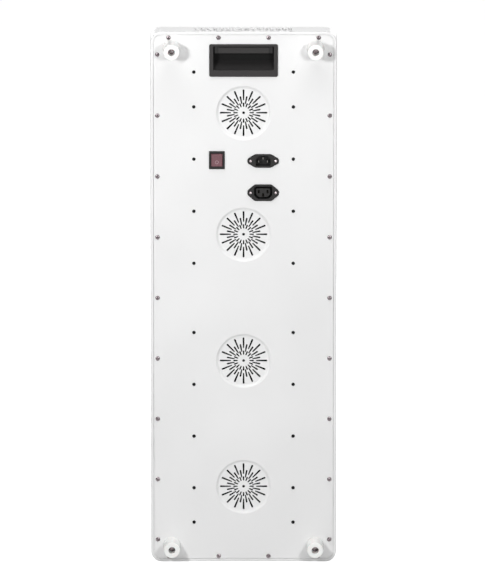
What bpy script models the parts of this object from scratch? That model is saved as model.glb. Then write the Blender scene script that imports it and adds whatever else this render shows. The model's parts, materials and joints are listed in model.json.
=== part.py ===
"""Red light therapy panel: a slim upright lamp housing with a slotted rear cover.

The panel stands on its bottom edge, which is z = 0. The rear, with the grilles, the handle and the
mains sockets, faces -Y. The light comes out on +Y. Lengths are in metres.
"""

import math

import bmesh
import bpy
from mathutils import Matrix, Vector

# Housing plan
PANEL_WIDTH = 0.295
PANEL_HEIGHT = 0.860
CORNER_RADIUS = 0.017
CORNER_STEPS = 4
LEAST_RADIUS = 0.0005

# Housing frame section
WALL = 0.0020
EDGE_ROUND = 0.0025
RIM_WIDTH = 0.0045
GROOVE = 0.0006
LEDGE_WIDTH = 0.0110
LEDGE_THICKNESS = 0.0020
LIP_THICKNESS = 0.0020
LIP_RETURN = 0.0020
LIP_LAP = 0.0017

# Gap that is left between two pieces that seat on each other
FIT = 0.0003

# Sheet of the rear cover
COVER_STEP = 0.0004
COVER_THICKNESS = 0.0012

# Stack of the LED modules, from the fins to the lenses
FIN_HEIGHT = 0.0114
FIN_THICKNESS = 0.0020
FIN_PITCH = 0.0575
SINK_BASE = 0.0030
BOARD_THICKNESS = 0.0016
LENS_SHEET = 0.0020
LENS_HEIGHT = 0.0046
LENS_SETBACK = 0.0006

# Plan of the LED modules
MODULES = 5
FIELD_INSET = 0.0085
MODULE_GAP = 0.0006
LED_COLUMNS = 10
LED_ROWS = 6
LENS_SPACING = 0.0058
LENS_SIDES = 6
MODULE_SCREW_X = 0.0788
MODULE_SCREW_NEAR = 0.0281
MODULE_SCREW_FAR = 0.0562
BOSS_DIAMETER = 0.0080
BOSS_SIDES = 5
BOSS_ROOT = 0.0010

# LED drivers
DRIVER_WIDTH = 0.0420
DRIVER_DEPTH = 0.0130
DRIVER_LENGTH = 0.1450
DRIVER_CHAMFER = 0.0025

# Screw holes of the cover
HOLE_SIDES = 5
SCREW_HOLE = 0.0034
SIDE_SCREWS = 9
SIDE_SCREW_INSET = 0.0110
SIDE_SCREW_END = 0.0366
END_SCREWS = 4
END_SCREW_INSET = 0.0093
END_SCREW_SIDE = 0.0287

# Pressed fan grilles
FANS = 4
FAN_END_RISE = 0.1225
TOP_FAN_DROP = 0.0085
DISH_DIAMETER = 0.0880
DISH_SLOPE = 0.0040
DISH_DEPTH = 0.0030
DISH_STEPS = 22
SLOTS_PER_RING = 16
SLOT_MARGIN = 0.0023
HUB_RADIUS = 0.0094
INNER_SLOT_LENGTH = 0.0069
RING_GAP = 0.0036
MIDDLE_SLOT_START = 0.0048
MIDDLE_SLOT_LENGTH = 0.0130
INNER_SLOT_WIDTHS = (0.0015, 0.0021)
MIDDLE_SLOT_WIDTHS = (0.0019, 0.0027)
OUTER_SLOT_WIDTHS = (0.0020, 0.0030)
HUB_HOLE = 0.0045

# Fans
FAN_SIZE = 0.0800
FAN_DEPTH = 0.0150
FAN_CORNER = 0.0040
FAN_BORE = 0.0760
FAN_BORE_STEPS = 12
FAN_SPIDER = 0.0025
FAN_STRUT = 0.0040
FAN_MOTOR = 0.0300
ROTOR_HUB = 0.0320
ROTOR_BLADES = 7
ROTOR_TIP_GAP = 0.0015
ROTOR_SETBACK = 0.0015
BLADE_TIP_CHORD = 0.5
BLADE_TWIST = math.radians(32)

# Vent slots in the top of the frame
VENTS = 16
VENT_PITCH = 0.0099
VENT_WIDTH = 0.0066
VENT_LENGTH = 0.0240
VENT_END_STEPS = 2

# Rear feet
FOOT_INSET_X = 0.0335
FOOT_INSET_Z = 0.0267
FOOT_LENGTH = 0.0370
FOOT_BASE = 0.0280
FOOT_END = 0.0255
FOOT_BORE = 0.0110
FOOT_FLOOR = 0.0080
FOOT_SCREW_HOLE = 0.0055
FOOT_EDGE = 0.0012
FOOT_STEPS = 12

# Flush pull handle
HANDLE_WIDTH = 0.1087
HANDLE_HEIGHT = 0.0526
HANDLE_DROP = 0.0460
HANDLE_CORNER = 0.0030
HANDLE_FLANGE = 0.0020
HANDLE_WALL = 0.0020
HANDLE_SIDE_BORDER = 0.0065
HANDLE_TOP_BORDER = 0.0036
HANDLE_BOTTOM_BORDER = 0.0105
HANDLE_SCOOP = 0.0120
GRIP_LENGTH = 0.0800
GRIP_HEIGHT = 0.0120
GRIP_THICKNESS = 0.0035
GRIP_SETBACK = 0.0030
GRIP_STEP = 0.0015
GRIP_ROOT = 0.0010

# Rocker switch
SWITCH_X = -0.0423
SWITCH_RISE = 0.0012
BEZEL_WIDTH = 0.0250
BEZEL_HEIGHT = 0.0290
BEZEL_THICKNESS = 0.0020
BEZEL_CORNER = 0.0010
SWITCH_WALL = 0.0014
SWITCH_DEPTH = 0.0150
ROCKER_WIDTH = 0.0187
ROCKER_HEIGHT = 0.0210
ROCKER_CROWN = 0.0042
ROCKER_VALLEY = 0.0034
ROCKER_BACK = 0.0025
ROCKER_PIVOT = 0.0035
ROCKER_WELL = 0.0055
ROCKER_TILT = math.radians(10)

# Mains sockets
SOCKET_X = 0.0310
INLET_RISE = 0.0213
OUTLET_DROP = 0.0301
SOCKET_FLANGE = 0.0020
SOCKET_WIDTH = 0.0500
SOCKET_END = 0.0070
SOCKET_DEPTH = 0.0155
SOCKET_WALL = 0.0018
SOCKET_FLOOR = 0.0025
SOCKET_SCREW_X = 0.0200
SOCKET_SCREW_HOLE = 0.0034
INLET_HEIGHT = 0.0220
INLET_FLAT = 0.0250
INLET_WELL_WIDTH = 0.0232
INLET_WELL_HEIGHT = 0.0164
INLET_WELL_CHAMFER = 0.0048
OUTLET_HEIGHT = 0.0268
OUTLET_FLAT = 0.0268
OUTLET_WELL_WIDTH = 0.0287
OUTLET_WELL_HEIGHT = 0.0200
OUTLET_WELL_CHAMFER = 0.0058
OUTLET_CORE_WIDTH = 0.0223
OUTLET_CORE_HEIGHT = 0.0140
OUTLET_CORE_CHAMFER = 0.0040
POLE_SPREAD = 0.0070
POLE_OFFSET = 0.0016
EARTH_OFFSET = 0.0036
PIN_WIDTH = 0.0020
PIN_HEIGHT = 0.0040
PIN_REACH = 0.0110
CONTACT_WIDTH = 0.0026
CONTACT_HEIGHT = 0.0050
CONTACT_LEAF = 0.0005
CONTACT_SETBACK = 0.0020
CONTACT_BRIDGE = 0.0020
TAIL_CLEARANCE = 0.0010

# How far a cutter runs past the faces that it cuts
OVERCUT = 0.0010
SMOOTH_ANGLE = math.radians(35)

# Depths along Y, stacked from the rear rim to the front lip
FAN_STACK = COVER_THICKNESS + DISH_DEPTH + FIT + FAN_DEPTH + FIT
MODULE_STACK = FIN_HEIGHT + SINK_BASE + FIT + BOARD_THICKNESS + FIT + LENS_SHEET + LENS_HEIGHT
PANEL_DEPTH = COVER_STEP + FAN_STACK + MODULE_STACK + LENS_SETBACK
REAR = -PANEL_DEPTH / 2
FRONT = PANEL_DEPTH / 2
COVER_OUTER = REAR + COVER_STEP
COVER_INNER = COVER_OUTER + COVER_THICKNESS
LEDGE_REAR = COVER_INNER + FIT
FAN_REAR = COVER_INNER + DISH_DEPTH + FIT
FIN_TIP = FAN_REAR + FAN_DEPTH + FIT
SINK_REAR = FIN_TIP + FIN_HEIGHT
SINK_FRONT = SINK_REAR + SINK_BASE
BOARD_REAR = SINK_FRONT + FIT
BOARD_FRONT = BOARD_REAR + BOARD_THICKNESS
LENS_REAR = BOARD_FRONT + FIT
LENS_FRONT = LENS_REAR + LENS_SHEET

# Spread of the LED modules and of the lenses on each
MODULE_STEP = (PANEL_HEIGHT - 2 * FIELD_INSET) / MODULES
MODULE_WIDTH = PANEL_WIDTH - 2 * FIELD_INSET
MODULE_HEIGHT = MODULE_STEP - MODULE_GAP
LED_PITCH_X = MODULE_WIDTH / LED_COLUMNS
LED_PITCH_Z = MODULE_STEP / LED_ROWS
LENS_DIAMETER = min(LED_PITCH_X, LED_PITCH_Z) - LENS_SPACING

# Heights of the fans: evenly spread, with the top one lowered to clear the handle
FAN_PITCH = (PANEL_HEIGHT - 2 * FAN_END_RISE) / (FANS - 1)
TOP_FAN = PANEL_HEIGHT - FAN_END_RISE - TOP_FAN_DROP
FAN_HEIGHTS = [FAN_END_RISE + FAN_PITCH * step for step in range(FANS - 1)] + [TOP_FAN]

# Heights of the handle and, between the two upper fans, of the mains pieces
HANDLE_Z = PANEL_HEIGHT - HANDLE_DROP
SOCKET_BAY = (FAN_HEIGHTS[-1] + FAN_HEIGHTS[-2]) / 2
INLET_Z = SOCKET_BAY + INLET_RISE
OUTLET_Z = SOCKET_BAY - OUTLET_DROP
SWITCH_Z = INLET_Z + SWITCH_RISE

# Pieces that stand on the outside of the cover seat here
OUTER_SEAT = COVER_OUTER - FIT


def rounded_rectangle(width, height, radius, steps=CORNER_STEPS):
    """Points of a rectangle with round corners, anticlockwise round the origin."""
    points = []
    for corner, (side_x, side_z) in enumerate(((1, 1), (-1, 1), (-1, -1), (1, -1))):
        middle_x = side_x * (width / 2 - radius)
        middle_z = side_z * (height / 2 - radius)
        for step in range(steps + 1):
            angle = math.pi / 2 * (corner + step / steps)
            points.append((middle_x + radius * math.cos(angle), middle_z + radius * math.sin(angle)))
    return points


def rectangle(width, height):
    """The four corners of a rectangle round the origin."""
    side = width / 2
    top = height / 2
    return [(side, top), (-side, top), (-side, -top), (side, -top)]


def polygon(diameter, sides):
    """A regular polygon round the origin, with its corners on the circle of this diameter."""
    angles = [2 * math.pi * side / sides for side in range(sides)]
    return [(diameter / 2 * math.cos(angle), diameter / 2 * math.sin(angle)) for angle in angles]


def shifted(points, across, up):
    """The same outline, moved in its own plane."""
    return [(a + across, b + up) for a, b in points]


def in_space(axis, across, up, depth):
    """A point of an outline that lies square to an axis, at a depth along that axis."""
    return {"X": (depth, across, up), "Y": (across, depth, up), "Z": (across, up, depth)}[axis]


def add_loop(bm, points):
    """Adds a closed loop of edges through points in space, and returns its corners and edges."""
    corners = [bm.verts.new(point) for point in points]
    edges = [bm.edges.new(pair) for pair in zip(corners, corners[1:] + corners[:1])]
    return corners, edges


def add_wall(bm, low, high):
    """Adds the band of faces between two loops with as many corners."""
    for index in range(len(low)):
        bm.faces.new((low[index - 1], low[index], high[index], high[index - 1]))


def shaded(mesh):
    """The same mesh, shaded smooth over gentle bends and sharp at its edges."""
    mesh.shade_smooth()
    mesh.set_sharp_from_angle(angle=SMOOTH_ANGLE)
    return mesh


def mesh_of(bm, name):
    """Turns a bmesh into a shaded mesh with its faces pointing out."""
    bmesh.ops.recalc_face_normals(bm, faces=bm.faces[:])
    mesh = bpy.data.meshes.new(name)
    bm.to_mesh(mesh)
    bm.free()
    return shaded(mesh)


def baked(obj):
    """The shaded mesh that an object's modifiers make of it."""
    graph = bpy.context.evaluated_depsgraph_get()
    return shaded(bpy.data.meshes.new_from_object(obj.evaluated_get(graph)))


def extruded(axis, outline, low, high, holes=()):
    """A prism of an outline between two depths along an axis, with holes that run right through."""
    bm = bmesh.new()
    ends = {low: [], high: []}
    for points in (outline, *holes):
        loops = []
        for depth, edges in ends.items():
            corners, loop_edges = add_loop(bm, [in_space(axis, a, b, depth) for a, b in points])
            edges.extend(loop_edges)
            loops.append(corners)
        add_wall(bm, *loops)
    for edges in ends.values():
        bmesh.ops.triangle_fill(bm, edges=edges, use_beauty=True)
    return mesh_of(bm, "prism")


def revolved(profile, steps):
    """A closed profile of (radius, depth) points, turned round the Y axis."""
    bm = bmesh.new()
    corners, edges = add_loop(bm, [(radius, depth, 0) for radius, depth in profile])
    turn = 2 * math.pi
    bmesh.ops.spin(bm, geom=corners + edges, axis=(0, 1, 0), angle=turn, steps=steps, use_merge=True)
    return mesh_of(bm, "turning")


def joined(meshes):
    """Several meshes as one, each still a body of its own."""
    bm = bmesh.new()
    for mesh in meshes:
        bm.from_mesh(mesh)
    return mesh_of(bm, "group")


def boolean(mesh, tool_mesh, operation):
    """The closed mesh that a Boolean makes of two closed meshes."""
    target = bpy.data.objects.new("target", mesh)
    tool = bpy.data.objects.new("tool", tool_mesh)
    for obj in (target, tool):
        bpy.context.scene.collection.objects.link(obj)
    modifier = target.modifiers.new(operation, "BOOLEAN")
    modifier.operation = operation
    modifier.solver = "EXACT"
    modifier.object = tool
    result = baked(target)
    for obj in (target, tool):
        bpy.data.objects.remove(obj)
    return result


def finish(name, colour, roughness, metallic=0.0):
    """A plain surface finish."""
    material = bpy.data.materials.new(name)
    material.use_nodes = True
    shader = material.node_tree.nodes["Principled BSDF"]
    shader.inputs["Base Color"].default_value = (*colour, 1.0)
    shader.inputs["Roughness"].default_value = roughness
    shader.inputs["Metallic"].default_value = metallic
    return material


def white_powder_coat():
    """Finish of the frame and the cover."""
    return finish("white_powder_coat", (0.82, 0.82, 0.81), 0.45)


def white_nylon():
    """Finish of the feet."""
    return finish("white_nylon", (0.85, 0.85, 0.85), 0.55)


def black_moulding():
    """Finish of the handle, the switch body and the sockets."""
    return finish("black_moulding", (0.035, 0.034, 0.034), 0.5)


def red_translucent_cap():
    """Finish of the switch rocker."""
    return finish("red_translucent_cap", (0.25, 0.13, 0.16), 0.3)


def nickel_plate():
    """Finish of the socket pins and contacts."""
    return finish("nickel_plate", (0.75, 0.73, 0.70), 0.25, 1.0)


def clear_lens():
    """Finish of the lens panels."""
    return finish("clear_lens", (0.80, 0.80, 0.82), 0.15)


def white_solder_mask():
    """Finish of the LED boards."""
    return finish("white_solder_mask", (0.80, 0.81, 0.80), 0.4)


def mill_aluminium():
    """Finish of the heat sinks and the driver cases."""
    return finish("mill_aluminium", (0.70, 0.71, 0.72), 0.35, 1.0)


def black_fan_plastic():
    """Finish of the fan frames and rotors."""
    return finish("black_fan_plastic", (0.02, 0.02, 0.02), 0.5)


def place(name, mesh, material, parent, location=(0, 0, 0)):
    """Puts one named piece of the panel in its place."""
    obj = bpy.data.objects.new(name, mesh)
    if not mesh.materials:
        mesh.materials.append(material)
    bpy.context.scene.collection.objects.link(obj)
    obj.parent = parent
    obj.location = location
    return obj


def frame_section():
    """The frame's section, as (distance in from the outside, depth) points round the wall."""
    round_off = min(EDGE_ROUND, RIM_WIDTH)
    bend = round_off * (1 - math.sqrt(0.5))
    ledge_end = RIM_WIDTH + GROOVE + LEDGE_WIDTH
    ledge_front = LEDGE_REAR + LEDGE_THICKNESS
    lip_width = FIELD_INSET + LIP_LAP
    return_side = lip_width - LIP_RETURN
    return_end = LENS_FRONT + FIT
    return [
        (0, REAR + round_off),
        (bend, REAR + bend),
        (round_off, REAR),
        (RIM_WIDTH, REAR),
        (RIM_WIDTH, LEDGE_REAR),
        (ledge_end, LEDGE_REAR),
        (ledge_end, ledge_front),
        (WALL, ledge_front),
        (WALL, FRONT - LIP_THICKNESS),
        (return_side, FRONT - LIP_THICKNESS),
        (return_side, return_end),
        (lip_width, return_end),
        (lip_width, FRONT),
        (round_off, FRONT),
        (bend, FRONT - bend),
        (0, FRONT - round_off),
    ]


def inset_outline(inset):
    """The housing's outline, drawn in by an inset, standing on the floor."""
    radius = max(CORNER_RADIUS - inset, LEAST_RADIUS)
    points = rounded_rectangle(PANEL_WIDTH - 2 * inset, PANEL_HEIGHT - 2 * inset, radius)
    return shifted(points, 0, PANEL_HEIGHT / 2)


def vent_cutters():
    """A row of upright cutters with round ends, over the top of the frame."""
    half_run = (VENT_LENGTH - VENT_WIDTH) / 2
    outline = []
    for end in (1, -1):
        for step in range(VENT_END_STEPS + 1):
            angle = math.pi * step / VENT_END_STEPS + (0 if end > 0 else math.pi)
            across = VENT_WIDTH / 2 * math.cos(angle)
            outline.append((across, end * half_run + VENT_WIDTH / 2 * math.sin(angle)))
    low = PANEL_HEIGHT - WALL - OVERCUT
    high = PANEL_HEIGHT + OVERCUT
    places = [VENT_PITCH * (index - (VENTS - 1) / 2) for index in range(VENTS)]
    return joined([extruded("Z", shifted(outline, across, 0), low, high) for across in places])


def housing_frame_mesh():
    """The perimeter frame: its section swept round the housing's outline, with vents in the top."""
    bm = bmesh.new()
    loops = []
    for inset, depth in frame_section():
        corners, _ = add_loop(bm, [(x, depth, z) for x, z in inset_outline(inset)])
        loops.append(corners)
    for index in range(len(loops)):
        add_wall(bm, loops[index - 1], loops[index])
    return boolean(mesh_of(bm, "frame"), vent_cutters(), "DIFFERENCE")


def slot_outline(angle, start, length, widths):
    """One grille slot along a radius, which widens outwards."""
    inner, outer = widths
    end = start + length
    along = [(start, -inner / 2), (end, -outer / 2), (end, outer / 2), (start, inner / 2)]
    turn = Matrix.Rotation(angle, 2)
    return [tuple(turn @ Vector(point)) for point in along]


def grille_slots():
    """All the slots of one grille: two rings in line and one between them."""
    step = 2 * math.pi / SLOTS_PER_RING
    outer_start = HUB_RADIUS + INNER_SLOT_LENGTH + RING_GAP
    outer_length = DISH_DIAMETER / 2 - DISH_SLOPE - SLOT_MARGIN - outer_start
    middle_start = HUB_RADIUS + MIDDLE_SLOT_START
    outlines = []
    for index in range(SLOTS_PER_RING):
        angle = step * index
        outlines.append(slot_outline(angle, HUB_RADIUS, INNER_SLOT_LENGTH, INNER_SLOT_WIDTHS))
        outlines.append(slot_outline(angle, outer_start, outer_length, OUTER_SLOT_WIDTHS))
        outlines.append(slot_outline(angle + step / 2, middle_start, MIDDLE_SLOT_LENGTH, MIDDLE_SLOT_WIDTHS))
    return outlines


def edge_screw_places():
    """Places of the screws round the edge of the cover."""
    side_x = PANEL_WIDTH / 2 - SIDE_SCREW_INSET
    side_step = (PANEL_HEIGHT - 2 * SIDE_SCREW_END) / (SIDE_SCREWS - 1)
    end_x = PANEL_WIDTH / 2 - END_SCREW_SIDE
    end_step = 2 * end_x / (END_SCREWS - 1)
    sides = [(x, SIDE_SCREW_END + side_step * row) for x in (-side_x, side_x) for row in range(SIDE_SCREWS)]
    heights = (END_SCREW_INSET, PANEL_HEIGHT - END_SCREW_INSET)
    ends = [(end_step * column - end_x, z) for z in heights for column in range(END_SCREWS)]
    return sides + ends


def module_middle(module):
    """Height of a module's middle, counted up from the bottom one."""
    return FIELD_INSET + MODULE_STEP * (module + 0.5)


def module_screw_places(module):
    """Places of a module's four screws: two at a short and two at a long reach from its middle."""
    from_middle = module - (MODULES - 1) / 2
    away = math.copysign(1, from_middle)
    near = MODULE_SCREW_FAR if from_middle == 0 else MODULE_SCREW_NEAR
    far = MODULE_SCREW_NEAR if module in (0, MODULES - 1) else MODULE_SCREW_FAR
    middle = module_middle(module)
    return [(x, middle + away * reach) for x in (-MODULE_SCREW_X, MODULE_SCREW_X) for reach in (-near, far)]


def foot_places():
    """Names and places of the feet."""
    side = PANEL_WIDTH / 2 - FOOT_INSET_X
    top = PANEL_HEIGHT - FOOT_INSET_Z
    return {
        "lower_left": (-side, FOOT_INSET_Z),
        "lower_right": (side, FOOT_INSET_Z),
        "upper_left": (-side, top),
        "upper_right": (side, top),
    }


def socket_well(width, height, chamfer, keyed_up):
    """A mains connector's outline: a rectangle with two corners cut off, above or below."""
    side = width / 2
    top = height / 2
    points = [(side, -top), (side, top - chamfer), (side - chamfer, top)]
    points += [(chamfer - side, top), (-side, top - chamfer), (-side, -top)]
    return points if keyed_up else [(-across, -up) for across, up in points]


def inlet_well(extra=0.0):
    """Outline of the inlet's well, widened by an extra width all round."""
    return socket_well(
        INLET_WELL_WIDTH + 2 * extra, INLET_WELL_HEIGHT + 2 * extra, INLET_WELL_CHAMFER, keyed_up=True
    )


def outlet_well(extra=0.0):
    """Outline of the outlet's well, widened by an extra width all round."""
    return socket_well(
        OUTLET_WELL_WIDTH + 2 * extra, OUTLET_WELL_HEIGHT + 2 * extra, OUTLET_WELL_CHAMFER, keyed_up=False
    )


def handle_opening():
    """Width, height and middle height of the handle's mouth, about the middle of its flange."""
    width = HANDLE_WIDTH - 2 * HANDLE_SIDE_BORDER
    height = HANDLE_HEIGHT - HANDLE_TOP_BORDER - HANDLE_BOTTOM_BORDER
    return width, height, (HANDLE_BOTTOM_BORDER - HANDLE_TOP_BORDER) / 2


def switch_well():
    """Width and height of the well that the rocker turns in."""
    return ROCKER_WIDTH + 2 * FIT, ROCKER_HEIGHT + 2 * FIT


def cover_cutouts():
    """Outlines of the cover's cut-outs and screw holes."""
    mouth_width, mouth_height, mouth_z = handle_opening()
    spare = HANDLE_WALL + FIT
    handle = rectangle(mouth_width + 2 * spare, mouth_height + 2 * spare)
    well_width, well_height = switch_well()
    spare = SWITCH_WALL + FIT
    switch = rectangle(well_width + 2 * spare, well_height + 2 * spare)
    spare = SOCKET_WALL + FIT
    outlines = [
        shifted(handle, 0, HANDLE_Z + mouth_z),
        shifted(switch, SWITCH_X, SWITCH_Z),
        shifted(inlet_well(spare), SOCKET_X, INLET_Z),
        shifted(outlet_well(spare), SOCKET_X, OUTLET_Z),
    ]
    screws = edge_screw_places()
    for module in range(MODULES):
        screws += module_screw_places(module)
    outlines += [shifted(polygon(SCREW_HOLE, HOLE_SIDES), *at) for at in screws]
    outlines += [shifted(polygon(FOOT_SCREW_HOLE, HOLE_SIDES), *at) for at in foot_places().values()]
    return outlines


def rear_cover_mesh():
    """The cover's outer skin, with its pressed grilles, thickened inwards into a sheet."""
    bm = bmesh.new()

    def loop(points, depth):
        return add_loop(bm, [(x, depth, z) for x, z in points])

    def fill(edges):
        bmesh.ops.triangle_fill(bm, edges=edges, use_beauty=True)

    skin_edges = []
    for points in [inset_outline(RIM_WIDTH + GROOVE), *cover_cutouts()]:
        skin_edges += loop(points, COVER_OUTER)[1]
    floor_diameter = DISH_DIAMETER - 2 * DISH_SLOPE
    floor_depth = COVER_OUTER + DISH_DEPTH
    for height in FAN_HEIGHTS:
        brim, brim_edges = loop(shifted(polygon(DISH_DIAMETER, DISH_STEPS), 0, height), COVER_OUTER)
        floor, floor_edges = loop(shifted(polygon(floor_diameter, DISH_STEPS), 0, height), floor_depth)
        skin_edges += brim_edges
        for points in [polygon(HUB_HOLE, HOLE_SIDES), *grille_slots()]:
            floor_edges += loop(shifted(points, 0, height), floor_depth)[1]
        fill(floor_edges)
        add_wall(bm, brim, floor)
    fill(skin_edges)
    mesh = mesh_of(bm, "cover_skin")
    skin = bpy.data.objects.new("cover_skin", mesh)
    bpy.context.scene.collection.objects.link(skin)
    sheet = skin.modifiers.new("sheet", "SOLIDIFY")
    sheet.thickness = COVER_THICKNESS
    sheet.use_even_offset = True
    faces_rear = mesh.polygons[-1].normal.y < 0
    sheet.offset = -1 if faces_rear else 1
    result = baked(skin)
    bpy.data.objects.remove(skin)
    return result


def lens_panel_mesh():
    """A clear sheet with a grid of lenses standing on its front, about the module's middle."""
    bm = bmesh.new()
    outline = rectangle(MODULE_WIDTH, MODULE_HEIGHT)
    rear, _ = add_loop(bm, [(x, LENS_REAR, z) for x, z in outline])
    front, front_edges = add_loop(bm, [(x, LENS_FRONT, z) for x, z in outline])
    bm.faces.new(rear)
    add_wall(bm, rear, front)
    for column in range(LED_COLUMNS):
        for row in range(LED_ROWS):
            x = LED_PITCH_X * (column - (LED_COLUMNS - 1) / 2)
            z = LED_PITCH_Z * (row - (LED_ROWS - 1) / 2)
            points = shifted(polygon(LENS_DIAMETER, LENS_SIDES), x, z)
            brim, brim_edges = add_loop(bm, [(a, LENS_FRONT, b) for a, b in points])
            front_edges += brim_edges
            crown = bm.verts.new((x, LENS_FRONT + LENS_HEIGHT, z))
            for index in range(LENS_SIDES):
                bm.faces.new((brim[index - 1], brim[index], crown))
    bmesh.ops.triangle_fill(bm, edges=front_edges, use_beauty=True)
    return mesh_of(bm, "lens_panel")


def led_board_mesh():
    """The metal-core board that carries a module's LEDs."""
    return extruded("Y", rectangle(MODULE_WIDTH, MODULE_HEIGHT), BOARD_REAR, BOARD_FRONT)


def heat_sink_mesh(module):
    """A finned plate with four screw bosses that reach back to the cover."""
    half = MODULE_WIDTH / 2
    most = int((half - FIN_THICKNESS) / FIN_PITCH)
    section = [(half, SINK_FRONT), (-half, SINK_FRONT), (-half, SINK_REAR)]
    for index in range(-most, most + 1):
        left = FIN_PITCH * index - FIN_THICKNESS / 2
        right = FIN_PITCH * index + FIN_THICKNESS / 2
        section += [(left, SINK_REAR), (left, FIN_TIP), (right, FIN_TIP), (right, SINK_REAR)]
    section.append((half, SINK_REAR))
    plate = extruded("Z", section, -MODULE_HEIGHT / 2, MODULE_HEIGHT / 2)
    round_boss = polygon(BOSS_DIAMETER, BOSS_SIDES)
    bosses = []
    for x, z in module_screw_places(module):
        outline = shifted(round_boss, x, z - module_middle(module))
        bosses.append(extruded("Y", outline, COVER_INNER + FIT, SINK_REAR + BOSS_ROOT))
    return boolean(plate, joined(bosses), "UNION")


def led_driver_mesh():
    """A driver in its extruded case, lying on the fin tips against the side wall."""
    outline = rounded_rectangle(DRIVER_WIDTH, DRIVER_DEPTH, DRIVER_CHAMFER, steps=1)
    return extruded("Z", outline, -DRIVER_LENGTH / 2, DRIVER_LENGTH / 2)


def fan_frame_mesh():
    """A square fan frame with a round duct and, at its front, the motor plate on four struts."""
    outline = rounded_rectangle(FAN_SIZE, FAN_SIZE, FAN_CORNER, steps=1)
    duct = extruded("Y", outline, 0, FAN_DEPTH, holes=[polygon(FAN_BORE, FAN_BORE_STEPS)])
    low = FAN_DEPTH - FAN_SPIDER
    reach = FAN_BORE / 2 + OVERCUT
    motor = FAN_MOTOR / 2
    spider = []
    for side in (Vector((1, 0)), Vector((0, 1)), Vector((-1, 0)), Vector((0, -1))):
        square = Vector((-side.y, side.x)) * FAN_STRUT / 2
        spider += [tuple(side * motor - square), tuple(side * reach - square)]
        spider += [tuple(side * reach + square), tuple(side * motor + square)]
        between = Matrix.Rotation(math.pi / 4, 2) @ side * motor
        spider.append(tuple(between))
    return boolean(duct, extruded("Y", spider, low, FAN_DEPTH - FIT), "UNION")


def fan_rotor_mesh():
    """A rotor: a hub with twisted blades drawn out of every second face of its side."""
    sides = 2 * ROTOR_BLADES
    low = ROTOR_SETBACK
    high = FAN_DEPTH - FAN_SPIDER - FIT
    bm = bmesh.new()
    bm.from_mesh(extruded("Y", polygon(ROTOR_HUB, sides), low, high))
    around = [face for face in bm.faces if abs(face.normal.y) < 0.5]
    around.sort(key=lambda face: math.atan2(face.calc_center_median().z, face.calc_center_median().x))
    blades = bmesh.ops.extrude_discrete_faces(bm, faces=around[::2])["faces"]
    for face in blades:
        root = face.calc_center_median()
        outward = Vector((root.x, 0, root.z)).normalized()
        tip = root + outward * (FAN_BORE / 2 - ROTOR_TIP_GAP - ROTOR_HUB / 2)
        pitch = Matrix.Rotation(BLADE_TWIST, 4, outward)
        thin = Matrix.Scale(BLADE_TIP_CHORD, 4)
        for corner in face.verts:
            corner.co = tip + pitch @ thin @ (corner.co - root)
    return mesh_of(bm, "fan_rotor")


def rear_foot_mesh():
    """A tapered stand-off with a deep counterbore, standing on the cover towards the rear."""
    base = FOOT_BASE / 2
    end = FOOT_END / 2
    bore = FOOT_BORE / 2
    hole = FOOT_SCREW_HOLE / 2
    profile = [
        (base, 0),
        (end, FOOT_EDGE - FOOT_LENGTH),
        (end - FOOT_EDGE, -FOOT_LENGTH),
        (bore, -FOOT_LENGTH),
        (bore, -FOOT_FLOOR),
        (hole, -FOOT_FLOOR),
        (hole, 0),
    ]
    return revolved(profile, FOOT_STEPS)


def grip_lip_mesh(width, top, face):
    """The handle's grip lip, which hangs across the top of the mouth, with a step near each end."""
    near = face + GRIP_SETBACK
    far = near + GRIP_THICKNESS
    low = top - GRIP_HEIGHT
    section = [
        (near, top + GRIP_ROOT),
        (near, low + GRIP_THICKNESS / 2),
        (near + GRIP_THICKNESS / 4, low),
        (far - GRIP_THICKNESS / 4, low),
        (far, low + GRIP_THICKNESS / 2),
        (far, top + GRIP_ROOT),
    ]
    step = [
        (near - OVERCUT, low - OVERCUT),
        (near + GRIP_STEP, low - OVERCUT),
        (near + GRIP_STEP, top + GRIP_ROOT + OVERCUT),
        (near - OVERCUT, top + GRIP_ROOT + OVERCUT),
    ]
    reach = width / 2 + GRIP_ROOT
    lip = extruded("X", section, -reach, reach)
    lip = boolean(lip, extruded("X", step, -reach - OVERCUT, -GRIP_LENGTH / 2), "DIFFERENCE")
    return boolean(lip, extruded("X", step, GRIP_LENGTH / 2, reach + OVERCUT), "DIFFERENCE")


def handle_cup_mesh():
    """A flush pull: a flange, a scooped cup behind it and a grip lip along the top of its mouth."""
    width, height, middle = handle_opening()
    bottom = middle - height / 2
    top = middle + height / 2
    face = OUTER_SEAT - HANDLE_FLANGE
    back = FIN_TIP - FIT - HANDLE_WALL
    scooped = bottom + HANDLE_SCOOP
    flange_outline = rounded_rectangle(HANDLE_WIDTH, HANDLE_HEIGHT, HANDLE_CORNER, steps=2)
    flange = extruded("Y", flange_outline, face, OUTER_SEAT)
    outside = [
        (OUTER_SEAT - HANDLE_FLANGE / 2, bottom - HANDLE_WALL),
        (COVER_INNER, bottom - HANDLE_WALL),
        (back + HANDLE_WALL, scooped - HANDLE_WALL),
        (back + HANDLE_WALL, top + HANDLE_WALL),
        (OUTER_SEAT - HANDLE_FLANGE / 2, top + HANDLE_WALL),
    ]
    shell_side = width / 2 + HANDLE_WALL
    shell = extruded("X", outside, -shell_side, shell_side)
    inside = [
        (face - OVERCUT, bottom),
        (face, bottom),
        (COVER_INNER, bottom),
        (back, scooped),
        (back, top),
        (face - OVERCUT, top),
    ]
    hollow = extruded("X", inside, -width / 2, width / 2)
    cup = boolean(boolean(flange, shell, "UNION"), hollow, "DIFFERENCE")
    return boolean(cup, grip_lip_mesh(width, top, face), "UNION")


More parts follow.
